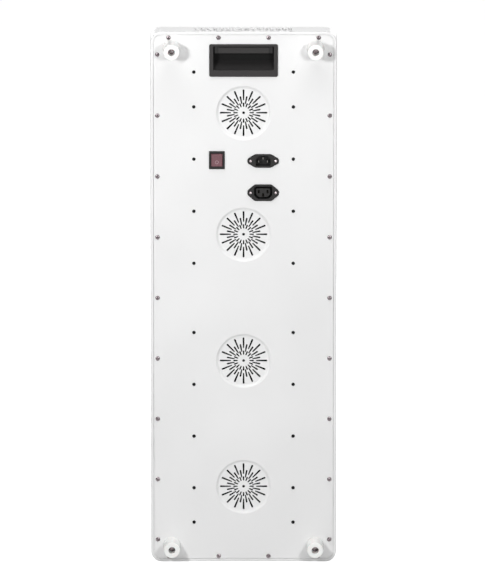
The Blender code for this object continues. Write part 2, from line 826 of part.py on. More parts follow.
def switch_body_mesh():
    """The switch's bezel and case, with the well that the rocker turns in."""
    well_width, well_height = switch_well()
    face = OUTER_SEAT - BEZEL_THICKNESS
    bezel_outline = rounded_rectangle(BEZEL_WIDTH, BEZEL_HEIGHT, BEZEL_CORNER, steps=2)
    bezel = extruded("Y", bezel_outline, face, OUTER_SEAT)
    case_outline = rectangle(well_width + 2 * SWITCH_WALL, well_height + 2 * SWITCH_WALL)
    case = extruded("Y", case_outline, OUTER_SEAT - BEZEL_THICKNESS / 2, COVER_OUTER + SWITCH_DEPTH)
    well_floor = face + ROCKER_PIVOT + ROCKER_WELL
    well = extruded("Y", rectangle(well_width, well_height), face - OVERCUT, well_floor)
    return boolean(boolean(bezel, case, "UNION"), well, "DIFFERENCE")


def switch_rocker_mesh():
    """The rocker, turned to OFF about its pivot: round ends, and two flats that meet in a valley."""
    reach = ROCKER_HEIGHT / 2
    crown = math.asin(ROCKER_CROWN / reach)
    heel = -math.asin(ROCKER_BACK / reach)
    angles = [crown, crown / 2, 0, heel]
    upper = [(-reach * math.sin(angle), reach * math.cos(angle)) for angle in angles]
    lower = [(depth, -up) for depth, up in reversed(upper)]
    section = [(-ROCKER_VALLEY, 0), *upper, *lower]
    turn = Matrix.Rotation(ROCKER_TILT, 2)
    turned = [tuple(turn @ Vector(point)) for point in section]
    return extruded("X", turned, -ROCKER_WIDTH / 2, ROCKER_WIDTH / 2)


def socket_flange(height, flat):
    """A two-screw flange outline: a hexagon with blunt ends."""
    end = SOCKET_WIDTH / 2
    points = [(flat / 2, height / 2), (-flat / 2, height / 2)]
    points += [(-end, SOCKET_END / 2), (-end, -SOCKET_END / 2)]
    return points + [(-across, -up) for across, up in points]


def pole_places(keyed_up):
    """Places of the live, neutral and earth poles about a socket's middle."""
    way = 1 if keyed_up else -1
    return {
        "live": (POLE_SPREAD, -way * POLE_OFFSET),
        "neutral": (-POLE_SPREAD, -way * POLE_OFFSET),
        "earth": (0, way * EARTH_OFFSET),
    }


def socket_case(flange, case_outline):
    """A socket's flange with two screw holes, and the case behind it."""
    face = OUTER_SEAT - SOCKET_FLANGE
    hole = polygon(SOCKET_SCREW_HOLE, HOLE_SIDES)
    holes = [shifted(hole, x, 0) for x in (-SOCKET_SCREW_X, SOCKET_SCREW_X)]
    plate = extruded("Y", flange, face, OUTER_SEAT, holes=holes)
    case = extruded("Y", case_outline, OUTER_SEAT - SOCKET_FLANGE / 2, COVER_OUTER + SOCKET_DEPTH)
    return boolean(plate, case, "UNION")


def inlet_body_mesh():
    """The mains inlet: an open well with three slots through its floor for the pins."""
    face = OUTER_SEAT - SOCKET_FLANGE
    back = COVER_OUTER + SOCKET_DEPTH
    body = socket_case(socket_flange(INLET_HEIGHT, INLET_FLAT), inlet_well(SOCKET_WALL))
    well = extruded("Y", inlet_well(), face - OVERCUT, back - SOCKET_FLOOR)
    body = boolean(body, well, "DIFFERENCE")
    slot = rectangle(PIN_WIDTH + 2 * FIT, PIN_HEIGHT + 2 * FIT)
    slots = [shifted(slot, *at) for at in pole_places(keyed_up=True).values()]
    low = back - SOCKET_FLOOR - OVERCUT
    return boolean(body, joined([extruded("Y", one, low, back + OVERCUT) for one in slots]), "DIFFERENCE")


def inlet_pin_mesh():
    """One flat pin of the inlet, from its tip in the well to its tail behind the case."""
    floor = COVER_OUTER + SOCKET_DEPTH - SOCKET_FLOOR
    return extruded("Y", rectangle(PIN_WIDTH, PIN_HEIGHT), floor - PIN_REACH, FIN_TIP - TAIL_CLEARANCE)


def outlet_body_mesh():
    """The mains outlet: a core with three slots, inside a well that takes the plug's skirt."""
    face = OUTER_SEAT - SOCKET_FLANGE
    back = COVER_OUTER + SOCKET_DEPTH
    body = socket_case(socket_flange(OUTLET_HEIGHT, OUTLET_FLAT), outlet_well(SOCKET_WALL))
    core = socket_well(OUTLET_CORE_WIDTH, OUTLET_CORE_HEIGHT, OUTLET_CORE_CHAMFER, keyed_up=False)
    moat = extruded("Y", outlet_well(), face - OVERCUT, back - SOCKET_FLOOR, holes=[core])
    body = boolean(body, moat, "DIFFERENCE")
    slot = rectangle(CONTACT_WIDTH + 2 * FIT, CONTACT_HEIGHT + 2 * FIT)
    slots = [shifted(slot, *at) for at in pole_places(keyed_up=False).values()]
    low = face - OVERCUT
    return boolean(body, joined([extruded("Y", one, low, back + OVERCUT) for one in slots]), "DIFFERENCE")


def outlet_contact_mesh():
    """One sprung contact of the outlet: two leaves on a bridge with a tail."""
    mouth = OUTER_SEAT - SOCKET_FLANGE + CONTACT_SETBACK
    tail = FIN_TIP - TAIL_CLEARANCE
    bridge = COVER_OUTER + SOCKET_DEPTH - CONTACT_BRIDGE
    side = CONTACT_WIDTH / 2
    gap = side - CONTACT_LEAF
    section = [(side, mouth), (side, tail), (-side, tail), (-side, mouth)]
    section += [(-gap, mouth), (-gap, bridge), (gap, bridge), (gap, mouth)]
    return extruded("Z", section, -CONTACT_HEIGHT / 2, CONTACT_HEIGHT / 2)


def build_housing(panel):
    """Places the frame, the cover and the feet."""
    coat = white_powder_coat()
    place("housing_frame", housing_frame_mesh(), coat, panel)
    place("rear_cover", rear_cover_mesh(), coat, panel)
    foot = rear_foot_mesh()
    nylon = white_nylon()
    for corner, (x, z) in foot_places().items():
        place(f"rear_foot_{corner}", foot, nylon, panel, (x, OUTER_SEAT, z))


def build_modules(panel):
    """Places the LED modules, with their drivers by turns on the left and on the right."""
    lens_mesh = lens_panel_mesh()
    board_mesh = led_board_mesh()
    driver_mesh = led_driver_mesh()
    lens = clear_lens()
    mask = white_solder_mask()
    metal = mill_aluminium()
    driver_x = PANEL_WIDTH / 2 - WALL - FIT - DRIVER_WIDTH / 2
    driver_y = FIN_TIP - FIT - DRIVER_DEPTH / 2
    for module in range(MODULES):
        number = module + 1
        height = module_middle(module)
        side = -1 if module % 2 else 1
        place(f"lens_panel_{number}", lens_mesh, lens, panel, (0, 0, height))
        place(f"led_board_{number}", board_mesh, mask, panel, (0, 0, height))
        place(f"heat_sink_{number}", heat_sink_mesh(module), metal, panel, (0, 0, height))
        place(f"led_driver_{number}", driver_mesh, metal, panel, (side * driver_x, driver_y, height))


def build_fans(panel):
    """Places the fans, with each rotor's origin on its axis."""
    frame_mesh = fan_frame_mesh()
    rotor_mesh = fan_rotor_mesh()
    plastic = black_fan_plastic()
    for index, height in enumerate(FAN_HEIGHTS):
        place(f"fan_frame_{index + 1}", frame_mesh, plastic, panel, (0, FAN_REAR, height))
        place(f"fan_rotor_{index + 1}", rotor_mesh, plastic, panel, (0, FAN_REAR, height))


def build_handle_and_switch(panel):
    """Places the handle and the switch, with the rocker's origin on its pivot."""
    moulding = black_moulding()
    place("handle_cup", handle_cup_mesh(), moulding, panel, (0, 0, HANDLE_Z))
    place("switch_body", switch_body_mesh(), moulding, panel, (SWITCH_X, 0, SWITCH_Z))
    pivot = OUTER_SEAT - BEZEL_THICKNESS + ROCKER_PIVOT
    place("switch_rocker", switch_rocker_mesh(), red_translucent_cap(), panel, (SWITCH_X, pivot, SWITCH_Z))


def build_sockets(panel):
    """Places the mains inlet and outlet with their pins and contacts."""
    moulding = black_moulding()
    plate = nickel_plate()
    place("inlet_body", inlet_body_mesh(), moulding, panel, (SOCKET_X, 0, INLET_Z))
    place("outlet_body", outlet_body_mesh(), moulding, panel, (SOCKET_X, 0, OUTLET_Z))
    pin = inlet_pin_mesh()
    contact = outlet_contact_mesh()
    for pole, (x, z) in pole_places(keyed_up=True).items():
        place(f"inlet_pin_{pole}", pin, plate, panel, (SOCKET_X + x, 0, INLET_Z + z))
    for pole, (x, z) in pole_places(keyed_up=False).items():
        place(f"outlet_contact_{pole}", contact, plate, panel, (SOCKET_X + x, 0, OUTLET_Z + z))


def main():
    """Clears the scene and builds the panel under one empty."""
    for obj in list(bpy.data.objects):
        bpy.data.objects.remove(obj)
    panel = bpy.data.objects.new("panel", None)
    bpy.context.scene.collection.objects.link(panel)
    build_housing(panel)
    build_modules(panel)
    build_fans(panel)
    build_handle_and_switch(panel)
    build_sockets(panel)


main()
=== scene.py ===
"""Looks of a red light therapy panel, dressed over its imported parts.

The panel stands upright with its rear to the camera: a white cover with four pressed grilles, a flush
handle, a rocker switch, two mains sockets and four stand-off feet. Lengths are in metres, in the frame of
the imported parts: X to the right as seen from the rear, Y towards the lit front, Z up.
"""

from __future__ import annotations

import json
import logging
import math
from collections.abc import Iterable, Sequence
from dataclasses import dataclass
from enum import Enum

import bmesh
import bpy
from bpy.types import ID, Material, Mesh, Node, NodeSocket, NodeTree, Object
from mathutils import Matrix, Vector

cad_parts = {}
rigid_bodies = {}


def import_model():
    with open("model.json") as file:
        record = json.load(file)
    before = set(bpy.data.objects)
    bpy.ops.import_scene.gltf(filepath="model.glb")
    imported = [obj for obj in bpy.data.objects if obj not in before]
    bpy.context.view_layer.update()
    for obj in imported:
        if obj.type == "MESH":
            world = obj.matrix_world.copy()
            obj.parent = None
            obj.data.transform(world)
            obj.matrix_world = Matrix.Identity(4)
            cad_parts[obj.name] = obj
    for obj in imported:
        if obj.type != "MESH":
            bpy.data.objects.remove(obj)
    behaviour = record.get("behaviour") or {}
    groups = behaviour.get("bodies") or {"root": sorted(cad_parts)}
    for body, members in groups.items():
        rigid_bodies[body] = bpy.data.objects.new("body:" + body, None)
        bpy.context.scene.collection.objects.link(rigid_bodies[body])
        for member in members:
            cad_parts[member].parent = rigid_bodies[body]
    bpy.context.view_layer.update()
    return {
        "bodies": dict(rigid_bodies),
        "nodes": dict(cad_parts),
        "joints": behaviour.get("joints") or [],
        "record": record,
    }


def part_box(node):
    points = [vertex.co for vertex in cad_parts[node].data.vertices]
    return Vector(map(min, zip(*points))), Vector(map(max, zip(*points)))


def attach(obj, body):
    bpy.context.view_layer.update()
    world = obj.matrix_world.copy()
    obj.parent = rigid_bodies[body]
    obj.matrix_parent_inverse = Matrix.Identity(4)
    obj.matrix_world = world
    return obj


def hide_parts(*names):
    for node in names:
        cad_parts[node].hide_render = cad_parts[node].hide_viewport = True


LOG = logging.getLogger("light_panel")

Pair = tuple[float, float]
Triple = tuple[float, float, float]
Outline = list[Pair]
Ring = list[bmesh.types.BMVert]

QUARTER = math.pi / 2
CORNERS = ((1, 1), (-1, 1), (-1, -1), (1, -1))
# Bends under this angle are shaded smooth.
SMOOTH_UNDER = math.radians(38)
# How much a large face leads the shading of its edges; 50 is even.
FLAT_WEIGHT = 80
# The shares of a pattern between which one colour goes over into the other.
MIX_SPAN = (0.3, 0.7)
# Thickness of the cover's sheet, and the gap that neighbouring pieces keep.
SHEET = 0.0012
FIT = 0.0003
FANS = (1, 2, 3, 4)
POLES = ("live", "neutral", "earth")


class Body(Enum):
    """The bodies that a piece can ride on."""

    PANEL = "panel"
    ROCKER = "rocker"


class Slot(Enum):
    """The record's material slots."""

    COAT = "white_coat"
    NYLON = "white_nylon"
    LENS = "clear_lens"
    MOULDING = "black_moulding"
    ROCKER = "rocker_red"
    NICKEL = "nickel_plate"


class Led(Enum):
    """The two kinds of LED, which take turns over a board."""

    RED = 0
    INFRARED = 1


class Chamfers(Enum):
    """Where a socket's cut-off corners are, as the factor that turns its outline."""

    ABOVE = 1
    BELOW = -1


def linear(code: str) -> tuple[float, float, float, float]:
    """Turns an sRGB hex colour into the linear one that a shader takes.

    Args:
        code: The colour, such as "#F2F2F0".

    Returns:
        Red, green and blue from 0 to 1, and an alpha of 1.
    """
    parts = [int(code[place : place + 2], 16) / 255 for place in (1, 3, 5)]
    red, green, blue = (p / 12.92 if p <= 0.04045 else ((p + 0.055) / 1.055) ** 2.4 for p in parts)
    return red, green, blue, 1.0


WHITE = linear("#FFFFFF")


def add_node(
    tree: NodeTree,
    kind: str,
    settings: dict[str | int, object] | None = None,
    links: dict[str | int, NodeSocket] | None = None,
) -> Node:
    """Adds one node to a tree, with its settings and links.

    Args:
        tree: The tree that it joins.
        kind: The node's type, such as "ShaderNodeTexNoise".
        settings: Values by the name or number of an input, or by the name of a property.
        links: Sockets that feed it, by the name or number of an input.

    Returns:
        The new node.
    """
    node = tree.nodes.new(kind)
    for name, value in (settings or {}).items():
        if isinstance(name, int) or name in node.inputs:
            node.inputs[name].default_value = value
        else:
            setattr(node, name, value)
    for name, source in (links or {}).items():
        tree.links.new(source, node.inputs[name])
    return node


@dataclass(frozen=True)
class Finish:
    """What a surface is made of and how it was made."""

    name: str  # the material and its process
    colour: str  # the main colour, in sRGB hex
    second: str  # the colour that it varies to
    roughness: float  # the middle roughness
    spread: float  # how far the roughness varies to each side
    grain: float  # size of the surface's own grain, in metres
    relief: float  # height of that grain, in metres
    metallic: float = 0.0  # 1 for bare metal
    ior: float = 1.5  # index of refraction
    mirror: float = 1.0  # share of the mirror light that the surface keeps; fine texture traps the rest
    stretch: float = 1.0  # how much longer the grain is along Z than across
    detail: float = 3.0  # how many finer layers the grain has
    strength: float = 0.5  # share of the relief that shows

    def make(self) -> Material:
        """Builds the material, or finds it if an earlier piece has it.

        Returns:
            The material.
        """
        known = bpy.data.materials.get(self.name)
        if known:
            return known
        material = bpy.data.materials.new(self.name)
        material.use_nodes = True
        tree = material.node_tree
        shader = tree.nodes["Principled BSDF"]
        shader.inputs["Roughness"].default_value = self.roughness
        shader.inputs["Metallic"].default_value = self.metallic
        shader.inputs["IOR"].default_value = self.ior
        shader.inputs["Specular IOR Level"].default_value = self.mirror / 2
        self.dress(tree, shader)
        self.tune(shader)
        return material

    def dress(self, tree: NodeTree, shader: Node) -> None:
        """Adds the grain, which varies the colour, the roughness and the relief.

        Args:
            tree: The material's nodes.
            shader: Its Principled shader.
        """
        place = add_node(tree, "ShaderNodeTexCoord").outputs["Object"]
        along = add_node(
            tree, "ShaderNodeMapping", {"Scale": (1.0, 1.0, 1 / self.stretch)}, {"Vector": place}
        ).outputs["Vector"]
        grain = add_node(
            tree, "ShaderNodeTexNoise", {"Scale": 1 / self.grain, "Detail": self.detail}, {"Vector": along}
        ).outputs["Fac"]
        self.paint(tree, shader, grain)
        self.roughen(tree, shader, grain)
        bump = add_node(
            tree, "ShaderNodeBump", {"Strength": self.strength, "Distance": self.relief}, {"Height": grain}
        )
        tree.links.new(bump.outputs["Normal"], shader.inputs["Normal"])

    def paint(self, tree: NodeTree, shader: Node, share: NodeSocket) -> None:
        """Varies the colour between the two colours.

        Args:
            tree: The material's nodes.
            shader: Its Principled shader.
            share: How much of the second colour shows.
        """
        ramp = add_node(tree, "ShaderNodeValToRGB", links={"Fac": share})
        ends = zip(ramp.color_ramp.elements, MIX_SPAN, (self.colour, self.second))
        for end, position, colour in ends:
            end.position = position
            end.color = linear(colour)
        tree.links.new(ramp.outputs["Color"], shader.inputs["Base Color"])

    def roughen(self, tree: NodeTree, shader: Node, share: NodeSocket) -> None:
        """Varies the roughness about its middle.

        Args:
            tree: The material's nodes.
            shader: Its Principled shader.
            share: A pattern from 0 to 1.
        """
        limits = {"To Min": self.roughness - self.spread, "To Max": self.roughness + self.spread}
        reach = add_node(tree, "ShaderNodeMapRange", limits, {"Value": share})
        tree.links.new(reach.outputs["Result"], shader.inputs["Roughness"])

    def tune(self, shader: Node) -> None:
        """Sets what only some finishes have; a plain one has nothing more."""


@dataclass(frozen=True)
class PowderCoat(Finish):
    """Powder-coated sheet steel: an even satin white over fine orange peel and faintly wavy sheet."""

    detail: float = 2.0
    strength: float = 0.25
    wave: float = 0.16  # length of the sheet's waves, in metres
    wave_height: float = 0.0006
    wave_detail: float = 1.5  # how many finer layers they have
    wave_strength: float = 0.4  # share of their height that shows

    def dress(self, tree: NodeTree, shader: Node) -> None:
        """Adds the orange peel, and the waves that cloud the sheet.

        Args:
            tree: The material's nodes.
            shader: Its Principled shader.
        """
        place = add_node(tree, "ShaderNodeTexCoord").outputs["Object"]
        peel, wave = (
            add_node(tree, "ShaderNodeTexNoise", {"Scale": 1 / size, "Detail": detail}, {"Vector": place})
            for size, detail in ((self.grain, self.detail), (self.wave, self.wave_detail))
        )
        self.paint(tree, shader, wave.outputs["Fac"])
        self.roughen(tree, shader, peel.outputs["Fac"])
        sheet = add_node(
            tree,
            "ShaderNodeBump",
            {"Strength": self.wave_strength, "Distance": self.wave_height},
            {"Height": wave.outputs["Fac"]},
        )
        skin = add_node(
            tree,
            "ShaderNodeBump",
            {"Strength": self.strength, "Distance": self.relief},
            {"Height": peel.outputs["Fac"], "Normal": sheet.outputs["Normal"]},
        )
        tree.links.new(skin.outputs["Normal"], shader.inputs["Normal"])


@dataclass(frozen=True)
class ClearMoulding(Finish):
    """Clear or tinted moulding that light goes into."""

    clear: float = 0.0  # how much light goes straight through
    milky: float = 0.0  # how much light spreads inside
    bleed: Triple = (0.002, 0.001, 0.001)  # how far red, green and blue light spread there

    def tune(self, shader: Node) -> None:
        """Lets the light in.

        Args:
            shader: The Principled shader.
        """
        shader.inputs["Transmission Weight"].default_value = self.clear
        shader.inputs["Subsurface Weight"].default_value = self.milky
        shader.inputs["Subsurface Radius"].default_value = self.bleed


@dataclass(frozen=True)
class PaintedLightMoulding(Finish):
    """Matt moulding painted lighter where its faces look up, as painted light from above."""

    painted_light: str = "#2A2929"  # the lighter colour painted on upward faces as painted light
    first: float = 0.2  # how far a face looks up where the painted light starts, from 0 to 1
    full: float = 0.8  # how far it looks up where the painted light is full

    def paint(self, tree: NodeTree, shader: Node, share: NodeSocket) -> None:
        """Lays painted light from above over the two colours where the faces look up.

        Args:
            tree: The material's nodes.
            shader: Its Principled shader.
            share: How much of the second colour shows.
        """
        super().paint(tree, shader, share)
        bare = shader.inputs["Base Color"].links[0].from_socket
        # Painted light: the more a face looks up, the more of the lighter colour it takes.
        normal = add_node(tree, "ShaderNodeNewGeometry").outputs["Normal"]
        up = add_node(tree, "ShaderNodeSeparateXYZ", links={"Vector": normal}).outputs["Z"]
        limits = {"From Min": self.first, "From Max": self.full}
        lies = add_node(tree, "ShaderNodeMapRange", limits, {"Value": up})
        # Inputs 0, 6 and 7 of a colour mix are its share and its two colours, and output 2 is the result.
        film = add_node(
            tree,
            "ShaderNodeMix",
            {"data_type": "RGBA", 7: linear(self.painted_light)},
            {0: lies.outputs["Result"], 6: bare},
        )
        tree.links.new(film.outputs[2], shader.inputs["Base Color"])


@dataclass(frozen=True)
class DrawnMetal(Finish):
    """Metal extruded along Z, with fine die lines that way."""

    stretch: float = 40.0
    detail: float = 2.0
    strength: float = 0.4


# Polyester powder coat is a soft-gloss white. Its orange peel is under 1 mm, drawn at 2.5 mm to show.
WHITE_COAT = PowderCoat(
    "powder_coated_steel_white", "#ECECEC", "#E6E6E6",
    roughness=0.42, spread=0.05, grain=0.0025, relief=0.00004, mirror=0.6,
)
# Where the coat is thin, inside the vents, it is a dull white with no gloss, and it is painted a lighter
# white than the outer coat as painted light in the slots.
VENT_COAT_PAINTED_LIGHT = Finish(
    "powder_coated_steel_vent_painted_light", "#F4F4F4", "#EEEEEE",
    roughness=0.8, spread=0.05, grain=0.0025, relief=0.00002, mirror=0.0,
)
# Moulded nylon is a slightly milky white. Its smooth skin mirrors what is beside it at low angles.
WHITE_NYLON = ClearMoulding(
    "moulded_nylon_white", "#F8F8F6", "#F0F0EE",
    roughness=0.2, spread=0.05, grain=0.0012, relief=0.00001, milky=0.1,
)
# Spark-eroded ABS is a dull black. Its texture is about 0.3 mm, drawn at 0.9 mm to show.
BLACK_ABS = Finish(
    "moulded_abs_black", "#343232", "#2B2A2A",
    roughness=0.5, spread=0.08, grain=0.0009, relief=0.00004, mirror=0.4,
)
# The cup is painted a deeper black than the flange as painted shade in its recess, and painted lighter
# where it faces up; its finer matt texture keeps less mirror light.
POCKET_ABS_PAINTED_SHADE = PaintedLightMoulding(
    "moulded_abs_black_painted_shade", "#191919", "#131313",
    roughness=0.6, spread=0.05, grain=0.0009, relief=0.00003, mirror=0.15,
)
# Glass-filled nylon of mains fittings is a deeper black, with a little more gloss.
BLACK_NYLON = Finish(
    "moulded_nylon_black", "#2A2929", "#222121",
    roughness=0.45, spread=0.06, grain=0.0009, relief=0.00003, mirror=0.4,
)
# Tinted polycarbonate looks dusky red under white light while its lamp is off.
RED_CAP = ClearMoulding(
    "moulded_polycarbonate_red", "#7E5960", "#704C52",
    roughness=0.35, spread=0.05, grain=0.0015, relief=0.00002, ior=1.585, mirror=0.5, milky=0.15,
)
# Pad-printed ink is an even pale film, worn thin.
PALE_INK = Finish(
    "pad_printed_ink_pale", "#B9A1A8", "#AB9199",
    roughness=0.5, spread=0.05, grain=0.0006, relief=0.00001,
)
# Dark zinc plate is a dusky grey metal with faint clouds in its shine.
ZINC_STEEL = Finish(
    "zinc_plated_steel_dark", "#7C7376", "#655E61",
    roughness=0.18, spread=0.05, grain=0.0012, relief=0.00002, metallic=1.0,
)
# Bright plate on steel is a pale grey metal with a clean shine.
PLATED_STEEL = Finish(
    "nickel_plated_steel", "#C4B8BB", "#AEA3A6",
    roughness=0.28, spread=0.05, grain=0.0012, relief=0.00002, metallic=1.0,
)
# Black oxide leaves steel nearly black with a dull metal sheen.
BLACK_STEEL = Finish(
    "black_oxide_steel", "#0C0C0D", "#080809",
    roughness=0.45, spread=0.08, grain=0.001, relief=0.00002, metallic=0.7,
)
# Handled nickel plate has lost its shine to fine scratches, and is a dull grey.
NICKEL = Finish(
    "nickel_plated_brass", "#A3A19E", "#8D8B88",
    roughness=0.45, spread=0.06, grain=0.001, relief=0.00001, metallic=1.0,
)
# Bronze contact springs are painted nearly black, as painted shade deep in the outlet's slots.
BRONZE_PAINTED_SHADE = Finish(
    "rolled_bronze_painted_shade", "#2A2724", "#201D1A",
    roughness=0.55, spread=0.08, grain=0.001, relief=0.00002, metallic=1.0,
)
# Dark anodised extrusions keep fine die lines along their length, 0.3 mm apart, drawn at 0.8 mm to show.
ALUMINIUM = DrawnMetal(
    "anodised_aluminium_dark", "#333436", "#28292A",
    roughness=0.4, spread=0.07, grain=0.0008, relief=0.00002, metallic=1.0,
)
# Clear polycarbonate bends the light of the board behind it, with a polished skin.
CLEAR_PC = ClearMoulding(
    "moulded_polycarbonate_clear", "#F6F8FA", "#EEF1F4",
    roughness=0.06, spread=0.03, grain=0.004, relief=0.00001, ior=1.585, clear=0.95,
)
# White solder mask is a thin glossy lacquer over the board's copper.
SOLDER_MASK = Finish(
    "solder_mask_white", "#E9EAE8", "#DFE1DE",
    roughness=0.35, spread=0.06, grain=0.003, relief=0.00005,
)
# Silicone over a red chip takes the chip's deep red, a little milky.
RED_SILICONE = ClearMoulding(
    "potted_silicone_red", "#B8402A", "#98301E",
    roughness=0.2, spread=0.05, grain=0.0008, relief=0.00001, ior=1.41, milky=0.2,
)
# Silicone over an infrared chip is smoke-coloured.
SMOKE_SILICONE = ClearMoulding(
    "potted_silicone_smoke", "#4A3638", "#382829",
    roughness=0.2, spread=0.05, grain=0.0008, relief=0.00001, ior=1.41, milky=0.2,
)
# Glass-filled polyester of the fans is a flat black.
FAN_PBT = Finish(
    "moulded_pbt_black", "#0F0F10", "#0A0A0B",
    roughness=0.5, spread=0.07, grain=0.001, relief=0.00003, mirror=0.3,
)


def shares(steps: int) -> list[float]:
    """The ends of that many equal steps on the way from 0 to 1."""
    return [step / steps for step in range(steps + 1)]


def arc(middle: Pair, radius: float, start: float, turn: float, steps: int) -> Outline:
    """Points along an arc.

    Args:
        middle: Its centre.
        radius: Its radius.
        start: The angle of its first point.
        turn: The angle that it goes through.
        steps: Into how many parts it is cut.

    Returns:
        One point more than there are parts.
    """
    angles = [start + turn * share for share in shares(steps)]
    return [(middle[0] + radius * math.cos(a), middle[1] + radius * math.sin(a)) for a in angles]


def disc(diameter: float, steps: int, middle: Pair = (0.0, 0.0)) -> Outline:
    """A circle of that many corners, as an anticlockwise outline."""
    return arc(middle, diameter / 2, 0.0, 2 * math.pi, steps)[:-1]


def rounded_box(
    width: float, height: float, radius: float, steps: int = 6, middle: Pair = (0.0, 0.0)
) -> Outline:
    """A rectangle with round corners, as an anticlockwise outline.

    Args:
        width: Its size across.
        height: Its size upwards.
        radius: Radius of its corners.
        steps: Into how many parts each corner is cut.
        middle: Its centre.

    Returns:
        The outline.
    """
    points: Outline = []
    for corner, (side, end) in enumerate(CORNERS):
        at = (middle[0] + side * (width / 2 - radius), middle[1] + end * (height / 2 - radius))
        points += arc(at, radius, QUARTER * corner, QUARTER, steps)
    return points


def softened(corners: Outline, cut: float, steps: int = 4) -> Outline:
    """A polygon with its corners drawn round.

    Args:
        corners: The polygon.
        cut: How far from each corner the curve starts.
        steps: Into how many parts each curve is cut.

    Returns:
        The outline.
    """
    points: Outline = []
    for index, corner in enumerate(corners):
        middle = Vector(corner)
        before = middle + (Vector(corners[index - 1]) - middle).normalized() * cut
        after = middle + (Vector(corners[(index + 1) % len(corners)]) - middle).normalized() * cut
        for share in shares(steps):
            at = before.lerp(middle, share).lerp(middle.lerp(after, share), share)
            points.append((at.x, at.y))
    return points


def inset(outline: Outline, distance: float) -> Outline:
    """An outline with each of its sides moved inwards.

    Args:
        outline: An anticlockwise outline.
        distance: How far the sides move in, or out if it is below 0.

    Returns:
        The outline with as many corners.
    """
    points: Outline = []
    for index, corner in enumerate(outline):
        here = Vector(corner)
        along = (here - Vector(outline[index - 1])).normalized()
        onward = (Vector(outline[(index + 1) % len(outline)]) - here).normalized()
        first, second = Vector((-along.y, along.x)), Vector((-onward.y, onward.x))
        drawn = here + (first + second) * distance / (1 + first.dot(second))
        points.append((drawn.x, drawn.y))
    return points


def moved(outline: Outline, across: float, up: float) -> Outline:
    """An outline moved in its own plane."""
    return [(a + across, b + up) for a, b in outline]


class Form:
    """A mesh in the making, drawn as closed rings that are joined into walls and faces."""

    def __init__(self) -> None:
        """Starts with nothing drawn."""
        self.mesh = bmesh.new()

    def ring(self, points: Iterable[Sequence[float]]) -> Ring:
        """Adds a closed ring of points in space."""
        return [self.mesh.verts.new(point) for point in points]

    def level(self, outline: Outline, depth: float) -> Ring:
        """Adds an outline of (x, z) points at one depth along Y."""
        return self.ring((x, depth, z) for x, z in outline)

    def wall(self, *rings: Ring) -> None:
        """Joins each ring to the next.

        Args:
            rings: The rings in order; a ring of one point is a pole.
        """
        for low, high in zip(rings, rings[1:]):
            for step in range(max(len(low), len(high))):
                corners = [low[(step - 1) % len(low)], low[step % len(low)]]
                corners += [high[step % len(high)], high[(step - 1) % len(high)]]
                self.mesh.faces.new(dict.fromkeys(corners))

    def tube(self, *rings: Ring) -> None:
        """Joins each ring to the next, and the last to the first."""
        self.wall(*rings, rings[0])

    def cap(self, ring: Ring) -> None:
        """Closes a ring with one face."""
        self.mesh.faces.new(ring)

    def solid(self, *rings: Ring) -> None:
        """Joins each ring to the next and closes both ends.

        Args:
            rings: The rings in order.
        """
        self.wall(*rings)
        self.cap(rings[0])
        self.cap(rings[-1])

    def fill(self, *rings: Ring) -> None:
        """Fills the flat between an outer ring and the rings inside it.

        Args:
            rings: The outer ring, then the holes.
        """
        edges = []
        for ring in rings:
            for step in range(len(ring)):
                pair = (ring[step - 1], ring[step])
                edges.append(self.mesh.edges.get(pair) or self.mesh.edges.new(pair))
        bmesh.ops.triangle_fill(self.mesh, edges=edges, use_beauty=True)

    def spin(self, profile: Outline, steps: int) -> None:
        """Turns a profile round the Y axis.

        Args:
            profile: Points of (radius, depth); a radius of 0 is a pole.
            steps: How many faces go round.
        """
        rings = []
        for radius, depth in profile:
            outline = disc(2 * radius, steps) if radius else [(0.0, 0.0)]
            rings.append(self.level(outline, depth))
        self.wall(*rings)

    def plate(
        self, outline: Outline, seat: float, face: float, edge: float, steps: int = 4
    ) -> tuple[Ring, Ring]:
        """Draws the side of a plate, with a round edge to its face.

        Args:
            outline: The plate's outline.
            seat: Depth of its back.
            face: Depth of its face.
            edge: Radius of its edge, below 0 for an edge that opens outwards.
            steps: Into how many parts the edge is cut.

        Returns:
            The ring at the back and the ring at the face.
        """
        size = abs(edge)
        way = math.copysign(1, seat - face)
        rings = [self.level(outline, seat)]
        for share in shares(steps):
            angle = QUARTER * share
            draw_in = math.copysign(size * (1 - math.cos(angle)), edge)
            rings.append(self.level(inset(outline, draw_in), face + way * size * (1 - math.sin(angle))))
        self.wall(*rings)
        return rings[0], rings[-1]

    def to_mesh(self, name: str) -> Mesh:
        """Ends the drawing.

        Args:
            name: The mesh's name.

        Returns:
            The mesh with its faces outwards, smooth over its round edges.
        """
        bmesh.ops.recalc_face_normals(self.mesh, faces=self.mesh.faces[:])
        mesh = bpy.data.meshes.new(name)
        self.mesh.to_mesh(mesh)
        self.mesh.free()
        return shaded(mesh)


def shaded(mesh: Mesh) -> Mesh:
    """Shades a mesh smooth over its gentle bends and sharp at its edges.

    Args:
        mesh: The mesh.

    Returns:
        The same mesh.
    """
    mesh.shade_smooth()
    mesh.set_sharp_from_angle(angle=SMOOTH_UNDER)
    return mesh


def worked(mesh: Mesh, kind: str, settings: dict[str, object]) -> Mesh:
    """Works a mesh with one modifier.

    Args:
        mesh: The mesh to work.
        kind: The modifier's type, such as "SOLIDIFY".
        settings: Its settings by name.

    Returns:
        The result, as a new mesh.
    """
    piece = bpy.data.objects.new("work", mesh)
    bpy.context.scene.collection.objects.link(piece)
    modifier = piece.modifiers.new("work", kind)
    for name, value in settings.items():
        setattr(modifier, name, value)
    graph = bpy.context.evaluated_depsgraph_get()
    result = bpy.data.meshes.new_from_object(piece.evaluated_get(graph))
    bpy.data.objects.remove(piece)
    return shaded(result)


